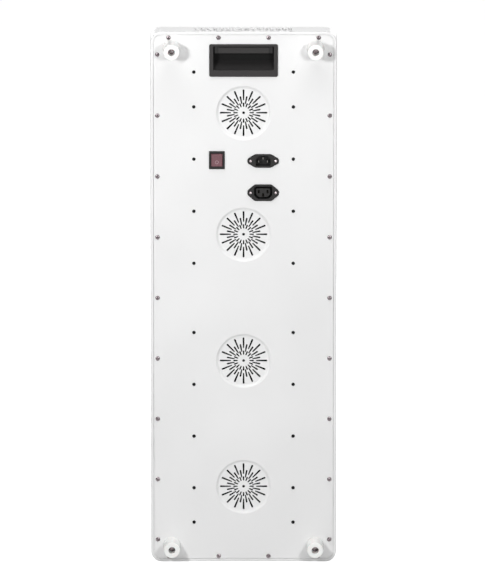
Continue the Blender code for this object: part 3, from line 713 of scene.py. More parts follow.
def cut_out(mesh: Mesh, cutter: Mesh) -> Mesh:
    """Takes a cutter's volume out of a closed mesh.

    Args:
        mesh: The mesh that is cut.
        cutter: Another closed mesh.

    Returns:
        What is left, as a new mesh.
    """
    tool = bpy.data.objects.new("tool", cutter)
    bpy.context.scene.collection.objects.link(tool)
    result = worked(mesh, "BOOLEAN", {"operation": "DIFFERENCE", "solver": "EXACT", "object": tool})
    bpy.data.objects.remove(tool)
    return result


def repeated(mesh: Mesh, places: Iterable[Matrix]) -> Mesh:
    """One mesh that holds a copy of another at each place.

    Args:
        mesh: The mesh to copy.
        places: Where each copy goes.

    Returns:
        The new mesh.
    """
    group = bmesh.new()
    for place in places:
        done = len(group.verts)
        group.from_mesh(mesh)
        group.verts.ensure_lookup_table()
        bmesh.ops.transform(group, matrix=place, verts=group.verts[done:])
    result = bpy.data.meshes.new(mesh.name + "_group")
    group.to_mesh(result)
    group.free()
    return shaded(result)


def put(
    name: str,
    mesh: Mesh,
    finish: Finish,
    slot: Slot | None = None,
    stands_for: str | None = None,
    body: Body = Body.PANEL,
    at: Sequence[float] = (0.0, 0.0, 0.0),
) -> None:
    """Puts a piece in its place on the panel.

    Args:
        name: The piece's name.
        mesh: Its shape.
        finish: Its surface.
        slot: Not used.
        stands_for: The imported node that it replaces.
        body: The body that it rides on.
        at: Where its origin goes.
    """
    piece = bpy.data.objects.new(name, mesh)
    bpy.context.scene.collection.objects.link(piece)
    piece.location = at
    if not mesh.materials:
        mesh.materials.append(finish.make())
    flat = piece.modifiers.new("flat_faces", "WEIGHTED_NORMAL")
    flat.keep_sharp = True
    flat.weight = FLAT_WEIGHT
    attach(piece, body.value)
    if stands_for:
        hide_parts(stands_for)
    LOG.info("%s: %d faces, rides on %s", name, len(mesh.polygons), body.value)


def dress(frame: dict, names: Iterable[str], finish: Finish) -> None:
    """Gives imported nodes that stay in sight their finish.

    Args:
        frame: The loaded frame.
        names: The nodes.
        finish: Their surface.
    """
    for name in names:
        for slot in frame["nodes"][name].material_slots:
            slot.material = finish.make()
        LOG.info("%s: packed node in %s", name, finish.name)


def middle_of(node: str) -> Vector:
    """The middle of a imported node's box."""
    low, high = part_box(node)
    return (low + high) / 2


@dataclass(frozen=True)
class Depths:
    """Depths along Y that pieces share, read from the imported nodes."""

    rear: float  # the frame's rear edge
    front: float  # the frame's front edge
    cover: float  # the cover's outer face
    sheet: float  # the cover's inner face
    seat: float  # where pieces on the cover sit
    flange: float  # the face of those pieces
    lens_rear: float  # the back of the lens sheets
    lens_crown: float  # the top of the lenses
    board: float  # the front of the LED boards

    @classmethod
    def read(cls) -> Depths:
        """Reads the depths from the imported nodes.

        Returns:
            The depths.
        """
        frame_low, frame_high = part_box("housing_frame")
        cover_low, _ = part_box("rear_cover")
        _, foot_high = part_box("rear_foot_lower_left")
        handle_low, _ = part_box("handle_cup")
        lens_low, lens_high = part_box("lens_panel_1")
        _, board_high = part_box("led_board_1")
        return cls(
            rear=frame_low.y,
            front=frame_high.y,
            cover=cover_low.y,
            sheet=cover_low.y + SHEET,
            seat=foot_high.y,
            flange=handle_low.y,
            lens_rear=lens_low.y,
            lens_crown=lens_high.y,
            board=board_high.y,
        )


@dataclass
class Housing:
    """The perimeter frame, bent and welded from sheet, with vents in its top."""

    depths: Depths
    width: float = 0.295
    height: float = 0.860
    corner: float = 0.017  # radius of its outer corners
    corner_steps: int = 12  # into how many parts each corner is cut
    wall: float = 0.0020  # thickness of its sheet
    edge: float = 0.0016  # radius of its front and rear edges
    rim: float = 0.0045  # width of the rear rim
    groove: float = 0.0006  # width of the gap between the rim and the cover
    ledge: float = 0.0110  # width of the ledge that the cover lies on
    lip: float = 0.0102  # width of the front lip
    lip_return: float = 0.0020  # thickness of the lip's inner edge
    lens_sheet: float = 0.0020  # thickness of the lens sheet that the lip holds
    least: float = 0.0005  # the least radius of an inner corner or edge
    vents: int = 16
    vent_pitch: float = 0.0099
    vent_width: float = 0.0066
    vent_length: float = 0.0240  # along Y
    collar: float = 0.0040  # how far the edges of the slots are turned in
    collar_draft: float = 0.0030  # how far the ends of the turned-in edges slope inwards
    collar_wall: float = 0.0010  # thickness of the turned-in edges

    def outline(self, draw_in: float) -> Outline:
        """The housing's outline, standing on the floor.

        Args:
            draw_in: How far it is drawn in all round.

        Returns:
            The outline in X and Z.
        """
        radius = max(self.corner - draw_in, self.least)
        size = (self.width - 2 * draw_in, self.height - 2 * draw_in)
        return rounded_box(*size, radius, self.corner_steps, (0.0, self.height / 2))

    def section(self) -> Outline:
        """The frame's section.

        Returns:
            Points of (distance in from the outside, depth) round the sheet.
        """
        rear, front = self.depths.rear, self.depths.front
        edge, least = self.edge, self.least
        ledge_rear = self.depths.sheet + FIT
        ledge_end = self.rim + self.groove + self.ledge
        return_end = self.depths.lens_rear + self.lens_sheet + FIT
        return [
            *arc((edge, rear + edge), edge, math.pi, QUARTER, steps=5),
            *arc((self.rim - least, rear + least), least, -QUARTER, QUARTER, steps=3),
            (self.rim, ledge_rear),
            (ledge_end, ledge_rear),
            (ledge_end, ledge_rear + self.wall),
            (self.wall, ledge_rear + self.wall),
            (self.wall, front - self.wall),
            (self.lip - self.lip_return, front - self.wall),
            (self.lip - self.lip_return, return_end),
            (self.lip, return_end),
            *arc((self.lip - least, front - least), least, 0.0, QUARTER, steps=3),
            *arc((edge, front - edge), edge, QUARTER, QUARTER, steps=5),
        ]

    def vent(self, form: Form, index: int, height: float, extra: float = 0.0, draft: float = 0.0) -> Ring:
        """Draws the outline of one vent slot, with round ends.

        Args:
            form: The mesh in the making.
            index: The slot's number in the row.
            height: Height of the outline.
            extra: How much wider it is all round.
            draft: How much shorter it is at each end.

        Returns:
            The ring.
        """
        radius = self.vent_width / 2 + extra
        run = (self.vent_length - self.vent_width) / 2 - draft
        across = self.vent_pitch * (index - (self.vents - 1) / 2)
        outline = arc((across, run), radius, 0.0, math.pi, steps=8)
        outline += arc((across, -run), radius, math.pi, math.pi, steps=8)
        return form.ring((x, y, height) for x, y in outline)

    def vent_cutter(self) -> Mesh:
        """The row of vent slots, as bars through the top wall.

        Returns:
            The mesh of the bars.
        """
        form = Form()
        ends = (self.height - 2 * self.wall, self.height + self.wall)
        for index in range(self.vents):
            form.solid(*[self.vent(form, index, end) for end in ends])
        return form.to_mesh("vents")

    def collar_mesh(self) -> Mesh:
        """The turned-in edges of the vent slots, as short tubes under the top wall.

        Returns:
            The mesh of the tubes.
        """
        form = Form()
        top = self.height - self.wall
        end = top - self.collar
        corners = ((top, 0.0, 0.0), (end, 0.0, self.collar_draft))
        corners += ((end, self.collar_wall, self.collar_draft), (top, self.collar_wall, 0.0))
        for index in range(self.vents):
            form.tube(*[self.vent(form, index, *corner) for corner in corners])
        return form.to_mesh("collars")

    def build(self) -> None:
        """Sweeps the section round the outline and cuts the vents."""
        form = Form()
        form.tube(*[form.level(self.outline(draw_in), depth) for draw_in, depth in self.section()])
        mesh = cut_out(form.to_mesh("frame"), self.vent_cutter())
        put("frame_shell", mesh, WHITE_COAT, Slot.COAT, "housing_frame")
        # The collars take the lighter white, painted light inside the vent slots.
        put("vent_collars", self.collar_mesh(), VENT_COAT_PAINTED_LIGHT)


@dataclass(frozen=True)
class SlotRing:
    """One ring of radial slots in a grille, which widen outwards to round ends."""

    start: float  # of a slot, from the grille's middle
    length: float
    inner: float  # width of a slot's inner end
    outer: float  # width of a slot's outer end
    turn: float = 0.0  # how far the ring is turned, in steps from slot to slot

    def slot(self, angle: float) -> Outline:
        """One slot of the ring.

        Args:
            angle: The radius that it lies on.

        Returns:
            The outline about the grille's middle.
        """
        end = self.start + self.length
        far = arc((end - self.outer / 2, 0.0), self.outer / 2, -QUARTER, math.pi, steps=6)
        near = arc((self.start + self.inner / 2, 0.0), self.inner / 2, QUARTER, math.pi, steps=4)
        turn = Matrix.Rotation(angle, 2)
        return [tuple(turn @ Vector(point)) for point in far + near]


@dataclass
class Cover:
    """The rear cover: one sheet with four grilles pressed into it."""

    housing: Housing
    cutouts: list[Outline]
    dish: float = 0.0880  # diameter of a grille's dish at its brim
    slope: float = 0.0042  # width of the dish's sloping side
    depth: float = 0.0030
    blend: float = 0.0003  # how far the pressed bend spreads past the slope
    bend: float = 0.2  # share of the slope that each bend takes
    round_steps: int = 72  # how many faces go round a dish
    slope_steps: int = 10  # how many faces go down its side
    hub_hole: float = 0.0045  # diameter of the hole in the middle
    slots: int = 16
    rings: tuple[SlotRing, ...] = (  # the rings of slots, from the middle outwards
        SlotRing(start=0.0092, length=0.0072, inner=0.0020, outer=0.0026),
        SlotRing(start=0.0142, length=0.0130, inner=0.0019, outer=0.0027, turn=0.5),
        SlotRing(start=0.0199, length=0.0178, inner=0.0020, outer=0.0030),
    )

    def drop(self, share: float) -> float:
        """How far down the dish's side is, with a bend at each end.

        Args:
            share: The share of the way from the brim to the floor.

        Returns:
            The share of the dish's depth.
        """
        if share > 0.5:
            return 1 - self.drop(1 - share)
        if share < self.bend:
            return share * share / (2 * self.bend * (1 - self.bend))
        return (share - self.bend / 2) / (1 - self.bend)

    def grille(self, form: Form, height: float) -> Ring:
        """Draws one pressed dish with its slots.

        Args:
            form: The sheet in the making.
            height: Height of the dish's middle.

        Returns:
            The ring of the dish's brim.
        """
        face = self.housing.depths.cover
        middle = (0.0, height)
        rings = []
        for share in shares(self.slope_steps):
            radius = self.dish / 2 + self.blend - (self.slope + 2 * self.blend) * share
            depth = face + self.depth * self.drop(share)
            rings.append(form.level(disc(2 * radius, self.round_steps, middle), depth))
        form.wall(*rings)
        floor = face + self.depth
        holes = [form.level(disc(self.hub_hole, steps=20, middle=middle), floor)]
        turn = 2 * math.pi / self.slots
        for ring in self.rings:
            for index in range(self.slots):
                holes.append(form.level(moved(ring.slot(turn * (index + ring.turn)), *middle), floor))
        form.fill(rings[-1], *holes)
        return rings[0]

    def build(self) -> None:
        """Draws the outer face with its grilles and thickens it inwards."""
        form = Form()
        face = self.housing.depths.cover
        holes = [form.level(outline, face) for outline in self.cutouts]
        holes += [self.grille(form, middle_of(f"fan_frame_{number}").z) for number in FANS]
        form.fill(form.level(self.housing.outline(self.housing.rim + self.housing.groove), face), *holes)
        mesh = form.to_mesh("cover")
        inwards = -1 if mesh.polygons[-1].normal.y < 0 else 1
        sheet = worked(mesh, "SOLIDIFY", {"thickness": SHEET, "offset": inwards})
        put("cover_sheet", sheet, WHITE_COAT, Slot.COAT, "rear_cover")


@dataclass(frozen=True)
class Screw:
    """A pan-head screw with a cross recess."""

    head: float  # diameter of its head
    height: float  # height of its head
    recess: float  # width of the cross from tip to tip
    blade: float  # width of each arm of the cross
    depth: float  # depth of the cross
    narrowing: float = 0.55  # size of the cross at its floor, as a share of its size on top
    shoulder: float = 0.3  # share of the head's height that is straight
    steps: int = 28  # how many faces go round
    turn: float = math.radians(37)  # how far each screw is turned past the one before

    def mesh(self) -> Mesh:
        """The head, standing on the surface towards the rear.

        Returns:
            The mesh.
        """
        radius = self.head / 2
        shoulder = self.height * self.shoulder
        dome = self.height - shoulder
        profile = [(0.0, 0.0), (radius, 0.0)]
        for share in shares(steps=7)[:-1]:
            angle = QUARTER * share
            profile.append((radius * math.cos(angle), -shoulder - dome * math.sin(angle)))
        profile.append((0.0, -self.height))
        form = Form()
        form.spin(profile, self.steps)
        return cut_out(form.to_mesh("screw"), self.cross())

    def cross(self) -> Mesh:
        """The recess, as a cross that narrows towards its floor and starts clear of the head.

        Returns:
            The mesh.
        """
        form = Form()
        clear = 1.2 * self.height
        turns = [Matrix.Rotation(QUARTER * index, 2) for index in range(4)]
        rings = []
        for share, depth in ((1.0, -clear), (self.narrowing, self.depth - self.height)):
            arm, half = self.recess / 2 * share, self.blade / 2 * share
            quarter = [Vector((arm, -half)), Vector((arm, half)), Vector((half, half))]
            rings.append(form.level([tuple(turn @ point) for turn in turns for point in quarter], depth))
            form.cap(rings[-1])
        form.wall(*rings)
        return form.to_mesh("cross")

    def put_at(self, name: str, places: Sequence[Sequence[float]], finish: Finish) -> None:
        """Puts one group of screws on the panel.

        Args:
            name: The group's name.
            places: Where the heads sit.
            finish: Their surface.
        """
        turns = [Matrix.Rotation(self.turn * index, 4, "Y") for index in range(len(places))]
        stands = [Matrix.Translation(place) @ turn for place, turn in zip(places, turns)]
        put(name, repeated(self.mesh(), stands), finish)


@dataclass
class CoverScrews:
    """The screws in the cover: silver ones round its edge and small black ones in two columns."""

    housing: Housing
    edge_screw: Screw = Screw(head=0.0070, height=0.0021, recess=0.0032, blade=0.0006, depth=0.0008)
    module_screw: Screw = Screw(head=0.0055, height=0.0014, recess=0.0028, blade=0.0009, depth=0.0009)
    side_rows: int = 9  # how many silver screws each long side has
    side_inset: float = 0.0110  # their distance from the long side
    side_end: float = 0.0366  # distance of the last one from the end
    end_columns: int = 4  # how many silver screws each end has
    end_inset: float = 0.0093  # their distance from the end
    end_side: float = 0.0287  # distance of the last one from the long side
    column: float = 0.0788  # distance of the black columns from the middle
    step: float = 0.0281  # the step that the black screws keep to
    counts: tuple[int, ...] = (2, 5, 8, 11, 13)  # at how many steps from mid-height they are

    def edge_places(self) -> list[Triple]:
        """Where the silver screws sit.

        Returns:
            Their places, the long sides first.
        """
        face = self.housing.depths.cover
        side = self.housing.width / 2 - self.side_inset
        rise = (self.housing.height - 2 * self.side_end) / (self.side_rows - 1)
        end = self.housing.width / 2 - self.end_side
        stride = 2 * end / (self.end_columns - 1)
        rows = [self.side_end + rise * row for row in range(self.side_rows)]
        columns = [stride * index - end for index in range(self.end_columns)]
        ends = (self.end_inset, self.housing.height - self.end_inset)
        places = [(x, face, z) for x in (-side, side) for z in rows]
        return places + [(x, face, z) for z in ends for x in columns]

    def module_places(self) -> list[Triple]:
        """Where the black screws sit.

        Returns:
            Their places, column by column.
        """
        middle = self.housing.height / 2
        heights = [middle + way * self.step * count for count in self.counts for way in (-1, 1)]
        return [(x, self.housing.depths.cover, z) for x in (-self.column, self.column) for z in heights]

    def build(self) -> None:
        """Puts both groups on the cover."""
        self.edge_screw.put_at("edge_screws", self.edge_places(), ZINC_STEEL)
        self.module_screw.put_at("module_screws", self.module_places(), BLACK_STEEL)


@dataclass
class Feet:
    """The four tapered stand-off feet, each with a steel bush and a screw deep in its bore."""

    base: float = 0.0280  # diameter at the cover
    end: float = 0.0255  # diameter at the outer end
    bore: float = 0.0110  # diameter of the counterbore
    floor: float = 0.0080  # thickness of the floor under the screw
    edge: float = 0.0016  # radius of the outer edge
    mouth: float = 0.0008  # radius of the bore's edge
    # Outer diameter, inner diameter and length of the bush under the screw.
    bush: Triple = (0.0106, 0.0050, 0.0100)
    screw: Screw = Screw(head=0.0085, height=0.0030, recess=0.0046, blade=0.0013, depth=0.0018)
    steps: int = 48  # how many faces go round

    def mesh(self, length: float) -> Mesh:
        """A foot, standing on its base towards the rear.

        Args:
            length: Its length.

        Returns:
            The mesh.
        """
        rim = self.end / 2 - self.edge
        lip = self.bore / 2 + self.mouth
        profile = [(0.0, 0.0), (self.base / 2, 0.0)]
        profile += arc((rim, self.edge - length), self.edge, 0.0, -QUARTER, steps=6)
        profile += arc((lip, self.mouth - length), self.mouth, -QUARTER, -QUARTER, steps=4)
        profile += [(self.bore / 2, -self.floor), (0.0, -self.floor)]
        form = Form()
        form.spin(profile, self.steps)
        return form.to_mesh("foot")

    def bush_mesh(self) -> Mesh:
        """The bush, standing on the bore's floor.

        Returns:
            The mesh.
        """
        outer, inner, length = self.bush
        form = Form()
        corners = ((inner, 0.0), (outer, 0.0), (outer, -length), (inner, -length))
        form.tube(*[form.level(disc(size, self.steps), depth) for size, depth in corners])
        return form.to_mesh("bush")

    def build(self) -> None:
        """Puts a foot over each packed one, with its bush and its screw."""
        nodes = [f"rear_foot_{end}_{side}" for end in ("lower", "upper") for side in ("left", "right")]
        low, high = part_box(nodes[0])
        mesh = self.mesh(high.y - low.y)
        places = []
        for node in nodes:
            middle = middle_of(node)
            base = Vector((middle.x, high.y, middle.z))
            put(node.replace("rear_foot", "foot"), mesh, WHITE_NYLON, Slot.NYLON, node, at=base)
            places.append(base - Vector((0.0, self.floor, 0.0)))
        bushes = repeated(self.bush_mesh(), [Matrix.Translation(place) for place in places])
        put("foot_bushes", bushes, ZINC_STEEL)
        rise = Vector((0.0, self.bush[2], 0.0))
        self.screw.put_at("foot_screws", [place - rise for place in places], PLATED_STEEL)


@dataclass
class Handle:
    """The flush pull: a flange, a scooped cup and a grip lip along the top of its mouth."""

    depths: Depths
    corner: float = 0.0030  # radius of the flange's corners
    edge: float = 0.0009  # radius of the flange's edge
    side: float = 0.0065  # width of the flange beside the mouth
    top: float = 0.0036  # width of the flange over the mouth
    bottom: float = 0.0105  # width of the flange under the mouth
    mouth_corner: float = 0.0015
    lip: float = 0.0006  # radius of the mouth's edge
    wall: float = 0.0020  # thickness of the cup
    scoop: float = 0.0120  # how far the cup's floor rises towards its back
    bend: float = 0.0020  # depth of the bend round the cup's back
    bend_width: float = 0.7  # width of that bend, as a share of its depth
    grip: Triple = (0.0800, 0.0120, 0.0035)  # length, height and thickness of the grip lip
    gap: float = 0.0018  # the gap over the lip and beside the bar that carries it
    setback: float = 0.0030  # distance of the grip lip behind the flange's face
    step: float = 0.0022  # how far the bar that carries the lip is set back behind it
    root: float = 0.0010  # thickness of the web that the bar hangs from
    end: float = 0.0008  # how far the ends of the lip and the bar are rounded
    end_taper: float = 0.3  # how far they draw in there, as a share of that
    bar_round: float = 0.4  # radius of a bar's edges, as a share of its thickness

    def __post_init__(self) -> None:
        """Reads the flange's size and the cup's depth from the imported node."""
        low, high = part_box("handle_cup")
        self.width, self.height = high.x - low.x, high.z - low.z
        self.middle = (low.z + high.z) / 2
        self.back = high.y - self.wall

    def mouth(self, extra: float = 0.0, rise: float = 0.0) -> Outline:
        """The mouth's outline.

        Args:
            extra: How much wider it is all round.
            rise: How far its bottom is raised.

        Returns:
            The outline in its place.
        """
        width = self.width - 2 * self.side + 2 * extra
        height = self.height - self.top - self.bottom + 2 * extra - rise
        middle = self.middle + (self.bottom - self.top + rise) / 2
        return rounded_box(width, height, self.mouth_corner + extra, middle=(0.0, middle))

    def cutout(self) -> Outline:
        """The hole that the cup needs in the cover."""
        return self.mouth(self.wall + FIT)

    def cup(self, form: Form, extra: float, start: Ring, back: float) -> None:
        """Draws the inside or the outside of the cup.

        Args:
            form: The mesh in the making.
            extra: Distance from the inside.
            start: The ring that it goes on from.
            back: Depth of its back.
        """
        front = self.depths.sheet
        turn = back - self.bend
        rings = [start]
        for share in shares(steps=8):
            depth = front + (turn - front) * share
            rise = self.scoop * (depth - front) / (back - front)
            rings.append(form.level(self.mouth(extra, rise), depth))
        for share in shares(steps=4)[1:]:
            angle = QUARTER * share
            draw_in = self.bend * (1 - math.cos(angle)) * self.bend_width
            outline = inset(self.mouth(extra, self.scoop), draw_in)
            rings.append(form.level(outline, turn + self.bend * math.sin(angle)))
        form.wall(*rings)
        form.cap(rings[-1])

    def draw_bar(self, form: Form, length: float, front: float, high: float, low: float) -> None:
        """Draws a bar across the mouth, which ends at the back of the lip.

        Args:
            form: The mesh in the making.
            length: Its length.
            front: Distance of its front behind the flange's face.
            high: Height of its top under the mouth's top.
            low: Height of its bottom under the mouth's top.
        """
        back = self.setback + self.grip[2]
        thickness = back - front
        top = self.middle + self.height / 2 - self.top
        middle = (self.depths.flange + (front + back) / 2, top - (high + low) / 2)
        section = rounded_box(thickness, low - high, thickness * self.bar_round, steps=5, middle=middle)
        rings = []
        for way, draw_in in ((-1, 0.0), (-1, self.end), (1, self.end), (1, 0.0)):
            x = way * (length / 2 - draw_in)
            outline = inset(section, (self.end - draw_in) * self.end_taper)
            rings.append(form.ring((x, y, z) for y, z in outline))
        form.solid(*rings)

    def build(self) -> None:
        """Draws the flange with the grip lip, the bar that carries the lip, and the cup behind them."""
        form = Form()
        face, seat = self.depths.flange, self.depths.seat
        flange = rounded_box(self.width, self.height, self.corner, middle=(0.0, self.middle))
        base, brim = form.plate(flange, seat, face, self.edge)
        throat, mouth = form.plate(self.mouth(), seat, face, -self.lip)
        form.fill(brim, mouth)
        form.fill(base, throat)
        length, low, thickness = self.grip
        self.draw_bar(form, length, self.setback, self.gap, low)
        put("handle_flange", form.to_mesh("flange"), BLACK_ABS, Slot.MOULDING, "handle_cup")
        form = Form()
        span = self.width - 2 * self.side - 2 * self.gap
        self.draw_bar(form, span, self.setback + self.step, self.gap, low)
        self.draw_bar(form, span, self.setback + thickness - self.root, -self.root, low / 2)
        put("handle_bar", form.to_mesh("bar"), BLACK_NYLON)
        form = Form()
        inner, outer = form.level(self.mouth(), seat), form.level(self.mouth(self.wall), seat)
        form.fill(outer, inner)
        self.cup(form, 0.0, inner, self.back)
        self.cup(form, self.wall, outer, self.back + self.wall)
        # The pocket carries painted shade in its recess and painted light on its upward faces.
        put("handle_pocket", form.to_mesh("pocket"), POCKET_ABS_PAINTED_SHADE)


@dataclass
class Switch:
    """The rocker switch: a bezel, a well and the rocker that tilts in it."""

    depths: Depths
    pivot: Vector  # where the rocker turns
    corner: float = 0.0012  # radius of the bezel's corners
    edge: float = 0.0008  # radius of the bezel's edge
    well: Pair = (0.0193, 0.0216)  # width and height of the well
    well_corner: float = 0.0006
    well_floor: float = 0.0055  # depth of the well's floor behind the pivot
    wall: float = 0.0014  # thickness of the case
    rocker: Pair = (0.0177, 0.0210)  # width and height of the rocker
    crown: float = 0.0042  # how far the rocker's ends stand out from the pivot
    valley: float = 0.0034  # how far its middle stands out
    heel: float = 0.0025  # how far it goes back behind the pivot
    half_steps: int = 6  # how many faces go along each half and round each end
    side: float = 0.0007  # radius of the rocker's side edges
    tilt: float = math.radians(10)  # how far it is turned to OFF
    # Middle height and outer diameter of the ring mark, and the width of its line.
    mark: Triple = (-0.0028, 0.0056, 0.0006)
    film: float = 0.00005  # how far the mark's ink stands proud of the rocker and goes into it

    def hole(self, extra: float = 0.0) -> Outline:
        """The well's outline, wider all round by an extra width."""
        width, height = (size + 2 * extra for size in self.well)
        return rounded_box(width, height, self.well_corner, steps=2, middle=(self.pivot.x, self.pivot.z))

    def cutout(self) -> Outline:
        """The hole that the case needs in the cover."""
        return self.hole(self.wall + FIT)

    def front(self, up: float) -> float:
        """Depth of the rocker's face before it is tilted.

        Args:
            up: The height over the pivot.

        Returns:
            The depth, from the pivot.
        """
        reach = self.rocker[1] / 2
        end = math.sqrt(reach * reach - self.crown * self.crown)
        return -self.valley - (self.crown - self.valley) * (up / end) ** 2

    def tilted(self, across: float, depth: float, up: float) -> Vector:
        """A point of the rocker, turned to OFF."""
        return Matrix.Rotation(self.tilt, 3, "X") @ Vector((across, depth, up))

    def section(self) -> Outline:
        """The rocker's section.

        Returns:
            Points of (depth, height) round it, before it is tilted.
        """
        reach = self.rocker[1] / 2
        crown, heel = math.asin(self.crown / reach), math.asin(self.heel / reach)
        end = reach * math.cos(crown)
        face = [end * (1 - step / self.half_steps) for step in range(2 * self.half_steps + 1)]
        points = [(self.front(up), up) for up in face]
        turn = crown + heel
        points += arc((0.0, 0.0), reach, -QUARTER - crown, turn, self.half_steps)[1:]
        points += arc((0.0, 0.0), reach, QUARTER - heel, turn, self.half_steps)[:-1]
        return points

    def build_body(self) -> None:
        """Draws the bezel and the well."""
        form = Form()
        low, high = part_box("switch_body")
        at = (self.pivot.x, self.pivot.z)
        bezel = rounded_box(high.x - low.x, high.z - low.z, self.corner, steps=4, middle=at)
        seat, brim = form.plate(bezel, self.depths.seat, low.y, self.edge)
        floor, mouth = form.plate(self.hole(), self.pivot.y + self.well_floor, low.y, -self.edge / 2)
        form.fill(brim, mouth)
        form.cap(floor)
        case = inset(self.hole(), -self.wall)
        shell, back = form.level(case, self.depths.seat), form.level(case, high.y)
        form.fill(seat, shell)
        form.wall(shell, back)
        form.cap(back)
        put("switch_bezel", form.to_mesh("bezel"), BLACK_NYLON, Slot.MOULDING, "switch_body")

    def build_rocker(self) -> None:
        """Draws the rocker with rounded sides."""
        form = Form()
        section = self.section()
        rings = []
        turns = [QUARTER * share for share in shares(steps=4)]
        for way, order in ((-1, turns), (1, reversed(turns))):
            for angle in order:
                x = way * (self.rocker[0] / 2 - self.side * (1 - math.cos(angle)))
                outline = inset(section, self.side * (1 - math.sin(angle)))
                rings.append(form.ring(self.tilted(x, y, z) for y, z in outline))
        form.solid(*rings)
        mesh = form.to_mesh("rocker")
        put("rocker_cap", mesh, RED_CAP, Slot.ROCKER, "switch_rocker", Body.ROCKER, self.pivot)

    def build_mark(self) -> None:
        """Draws the ring mark on the rocker's lower half."""
        form = Form()
        middle, diameter, line = self.mark
        rings = []
        for draw_in, film in ((0.0, self.film), (0.0, -self.film), (line, -self.film), (line, self.film)):
            outline = disc(diameter - 2 * draw_in, steps=40, middle=(0.0, middle))
            rings.append(form.ring(self.tilted(x, self.front(z) + film, z) for x, z in outline))
        form.tube(*rings)
        put("rocker_ring_mark", form.to_mesh("mark"), PALE_INK, body=Body.ROCKER, at=self.pivot)

    def build(self) -> None:
        """Builds the body, the rocker and its mark."""
        self.build_body()
        self.build_rocker()
        self.build_mark()


@dataclass
class Socket:
    """A mains socket on a two-screw flange; the inlet and the outlet build on it."""

    depths: Depths
    node: str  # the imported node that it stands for
    flat: float  # length of the flange's straight top
    well: Triple  # width, height and chamfer of the well
    chamfers: Chamfers
    soft: float  # how far the well's corners are drawn round
    soft_growth: float = 1 / 3  # how much more that is on a wider outline, as a share of the extra width
    end: float = 0.0070  # height of the flange's blunt ends
    end_round: float = 0.42  # how far the flange's corners are drawn round, as a share of that
    edge: float = 0.0007  # radius of the flange's edge
    lip: float = 0.0004  # radius of the well's edge
    wall: float = 0.0018  # thickness of the case
    floor: float = 0.0025  # thickness of the well's floor
    spread: float = 0.0200  # distance of the screws from the middle
    screw: Screw = Screw(head=0.0038, height=0.0013, recess=0.0023, blade=0.0008, depth=0.0008)

    def __post_init__(self) -> None:
        """Reads the socket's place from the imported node."""
        self.low, self.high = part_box(self.node)
        self.at = ((self.low.x + self.high.x) / 2, (self.low.z + self.high.z) / 2)

    def keyhole(self, width: float, height: float, chamfer: float, soft: float) -> Outline:
        """A connector's outline: a rectangle with two corners cut off.

        Args:
            width: Its size across.
            height: Its size upwards.
            chamfer: Size of the cut corners.
            soft: How far its corners are drawn round.

        Returns:
            The outline in its place.
        """
        side, top = width / 2, height / 2
        corners = [(side, -top), (side, top - chamfer), (side - chamfer, top)]
        corners += [(chamfer - side, top), (-side, top - chamfer), (-side, -top)]
        turned = [(self.chamfers.value * across, self.chamfers.value * up) for across, up in corners]
        return moved(softened(turned, soft), *self.at)

    def mouth(self, extra: float = 0.0) -> Outline:
        """The well's outline, wider all round by an extra width.

        Args:
            extra: The extra width.

        Returns:
            The outline in its place.
        """
        width, height, chamfer = self.well
        soft = self.soft + extra * self.soft_growth
        return self.keyhole(width + 2 * extra, height + 2 * extra, chamfer, soft)

    def cutout(self) -> Outline:
        """The hole that the case needs in the cover."""
        return self.mouth(self.wall + FIT)

    def flange(self) -> Outline:
        """The flange's outline, a hexagon with blunt, rounded ends.

        Returns:
            The outline in its place.
        """
        side, top = (self.high.x - self.low.x) / 2, (self.high.z - self.low.z) / 2
        flat, end = self.flat / 2, self.end / 2
        corners = [(flat, top), (-flat, top), (-side, end), (-side, -end)]
        corners += [(-across, -up) for across, up in corners]
        return moved(softened(corners, self.end * self.end_round, steps=6), *self.at)

    def draw_case(self, form: Form, holes: Sequence[Ring] = ()) -> Ring:
        """Draws the flange, the sides of the well and the case behind.

        Args:
            form: The mesh in the making.
            holes: Rings in the back of the case.

        Returns:
            The ring round the well's floor.
        """
        seat, brim = form.plate(self.flange(), self.depths.seat, self.low.y, self.edge)
        floor, mouth = form.plate(self.mouth(), self.high.y - self.floor, self.low.y, -self.lip)
        form.fill(brim, mouth)
        case = self.mouth(self.wall)
        shell, back = form.level(case, self.depths.seat), form.level(case, self.high.y)
        form.fill(seat, shell)
        form.wall(shell, back)
        form.fill(back, *holes)
        return floor

    def screw_places(self) -> list[Triple]:
        """Where the flange's screws sit."""
        return [(self.at[0] + way * self.spread, self.low.y, self.at[1]) for way in (-1, 1)]


@dataclass
class Inlet(Socket):
    """The mains inlet: an open well with three flat pins."""

    node: str = "inlet_body"
    flat: float = 0.0250
    well: Triple = (0.0232, 0.0164, 0.0048)
    chamfers: Chamfers = Chamfers.ABOVE
    soft: float = 0.0012
    pin_corner: float = 0.0003  # radius of a pin's long edges
    tip: float = 0.0014  # length of the taper at a pin's tip
    tip_inset: float = 0.0006  # how far the tip draws in

    def pin(self, node: str) -> Mesh:
        """A pin with a tapered tip.

        Args:
            node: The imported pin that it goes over.

        Returns:
            The mesh.
        """
        form = Form()
        low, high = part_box(node)
        middle = middle_of(node)
        size = (high.x - low.x, high.z - low.z)
        blade = rounded_box(*size, self.pin_corner, steps=3, middle=(middle.x, middle.z))
        rings = []
        for share in (1, 0.5, 0):
            rings.append(form.level(inset(blade, self.tip_inset * share), low.y + self.tip * (1 - share)))
        rings.append(form.level(blade, high.y))
        form.solid(*rings)
        return form.to_mesh("pin")

    def build(self) -> None:
        """Draws the body and puts a pin over each packed one."""
        form = Form()
        form.cap(self.draw_case(form))
        put("mains_inlet", form.to_mesh("inlet"), BLACK_NYLON, Slot.MOULDING, self.node)
        for pole in POLES:
            node = f"inlet_pin_{pole}"
            put(f"pin_{pole}", self.pin(node), NICKEL, Slot.NICKEL, node)


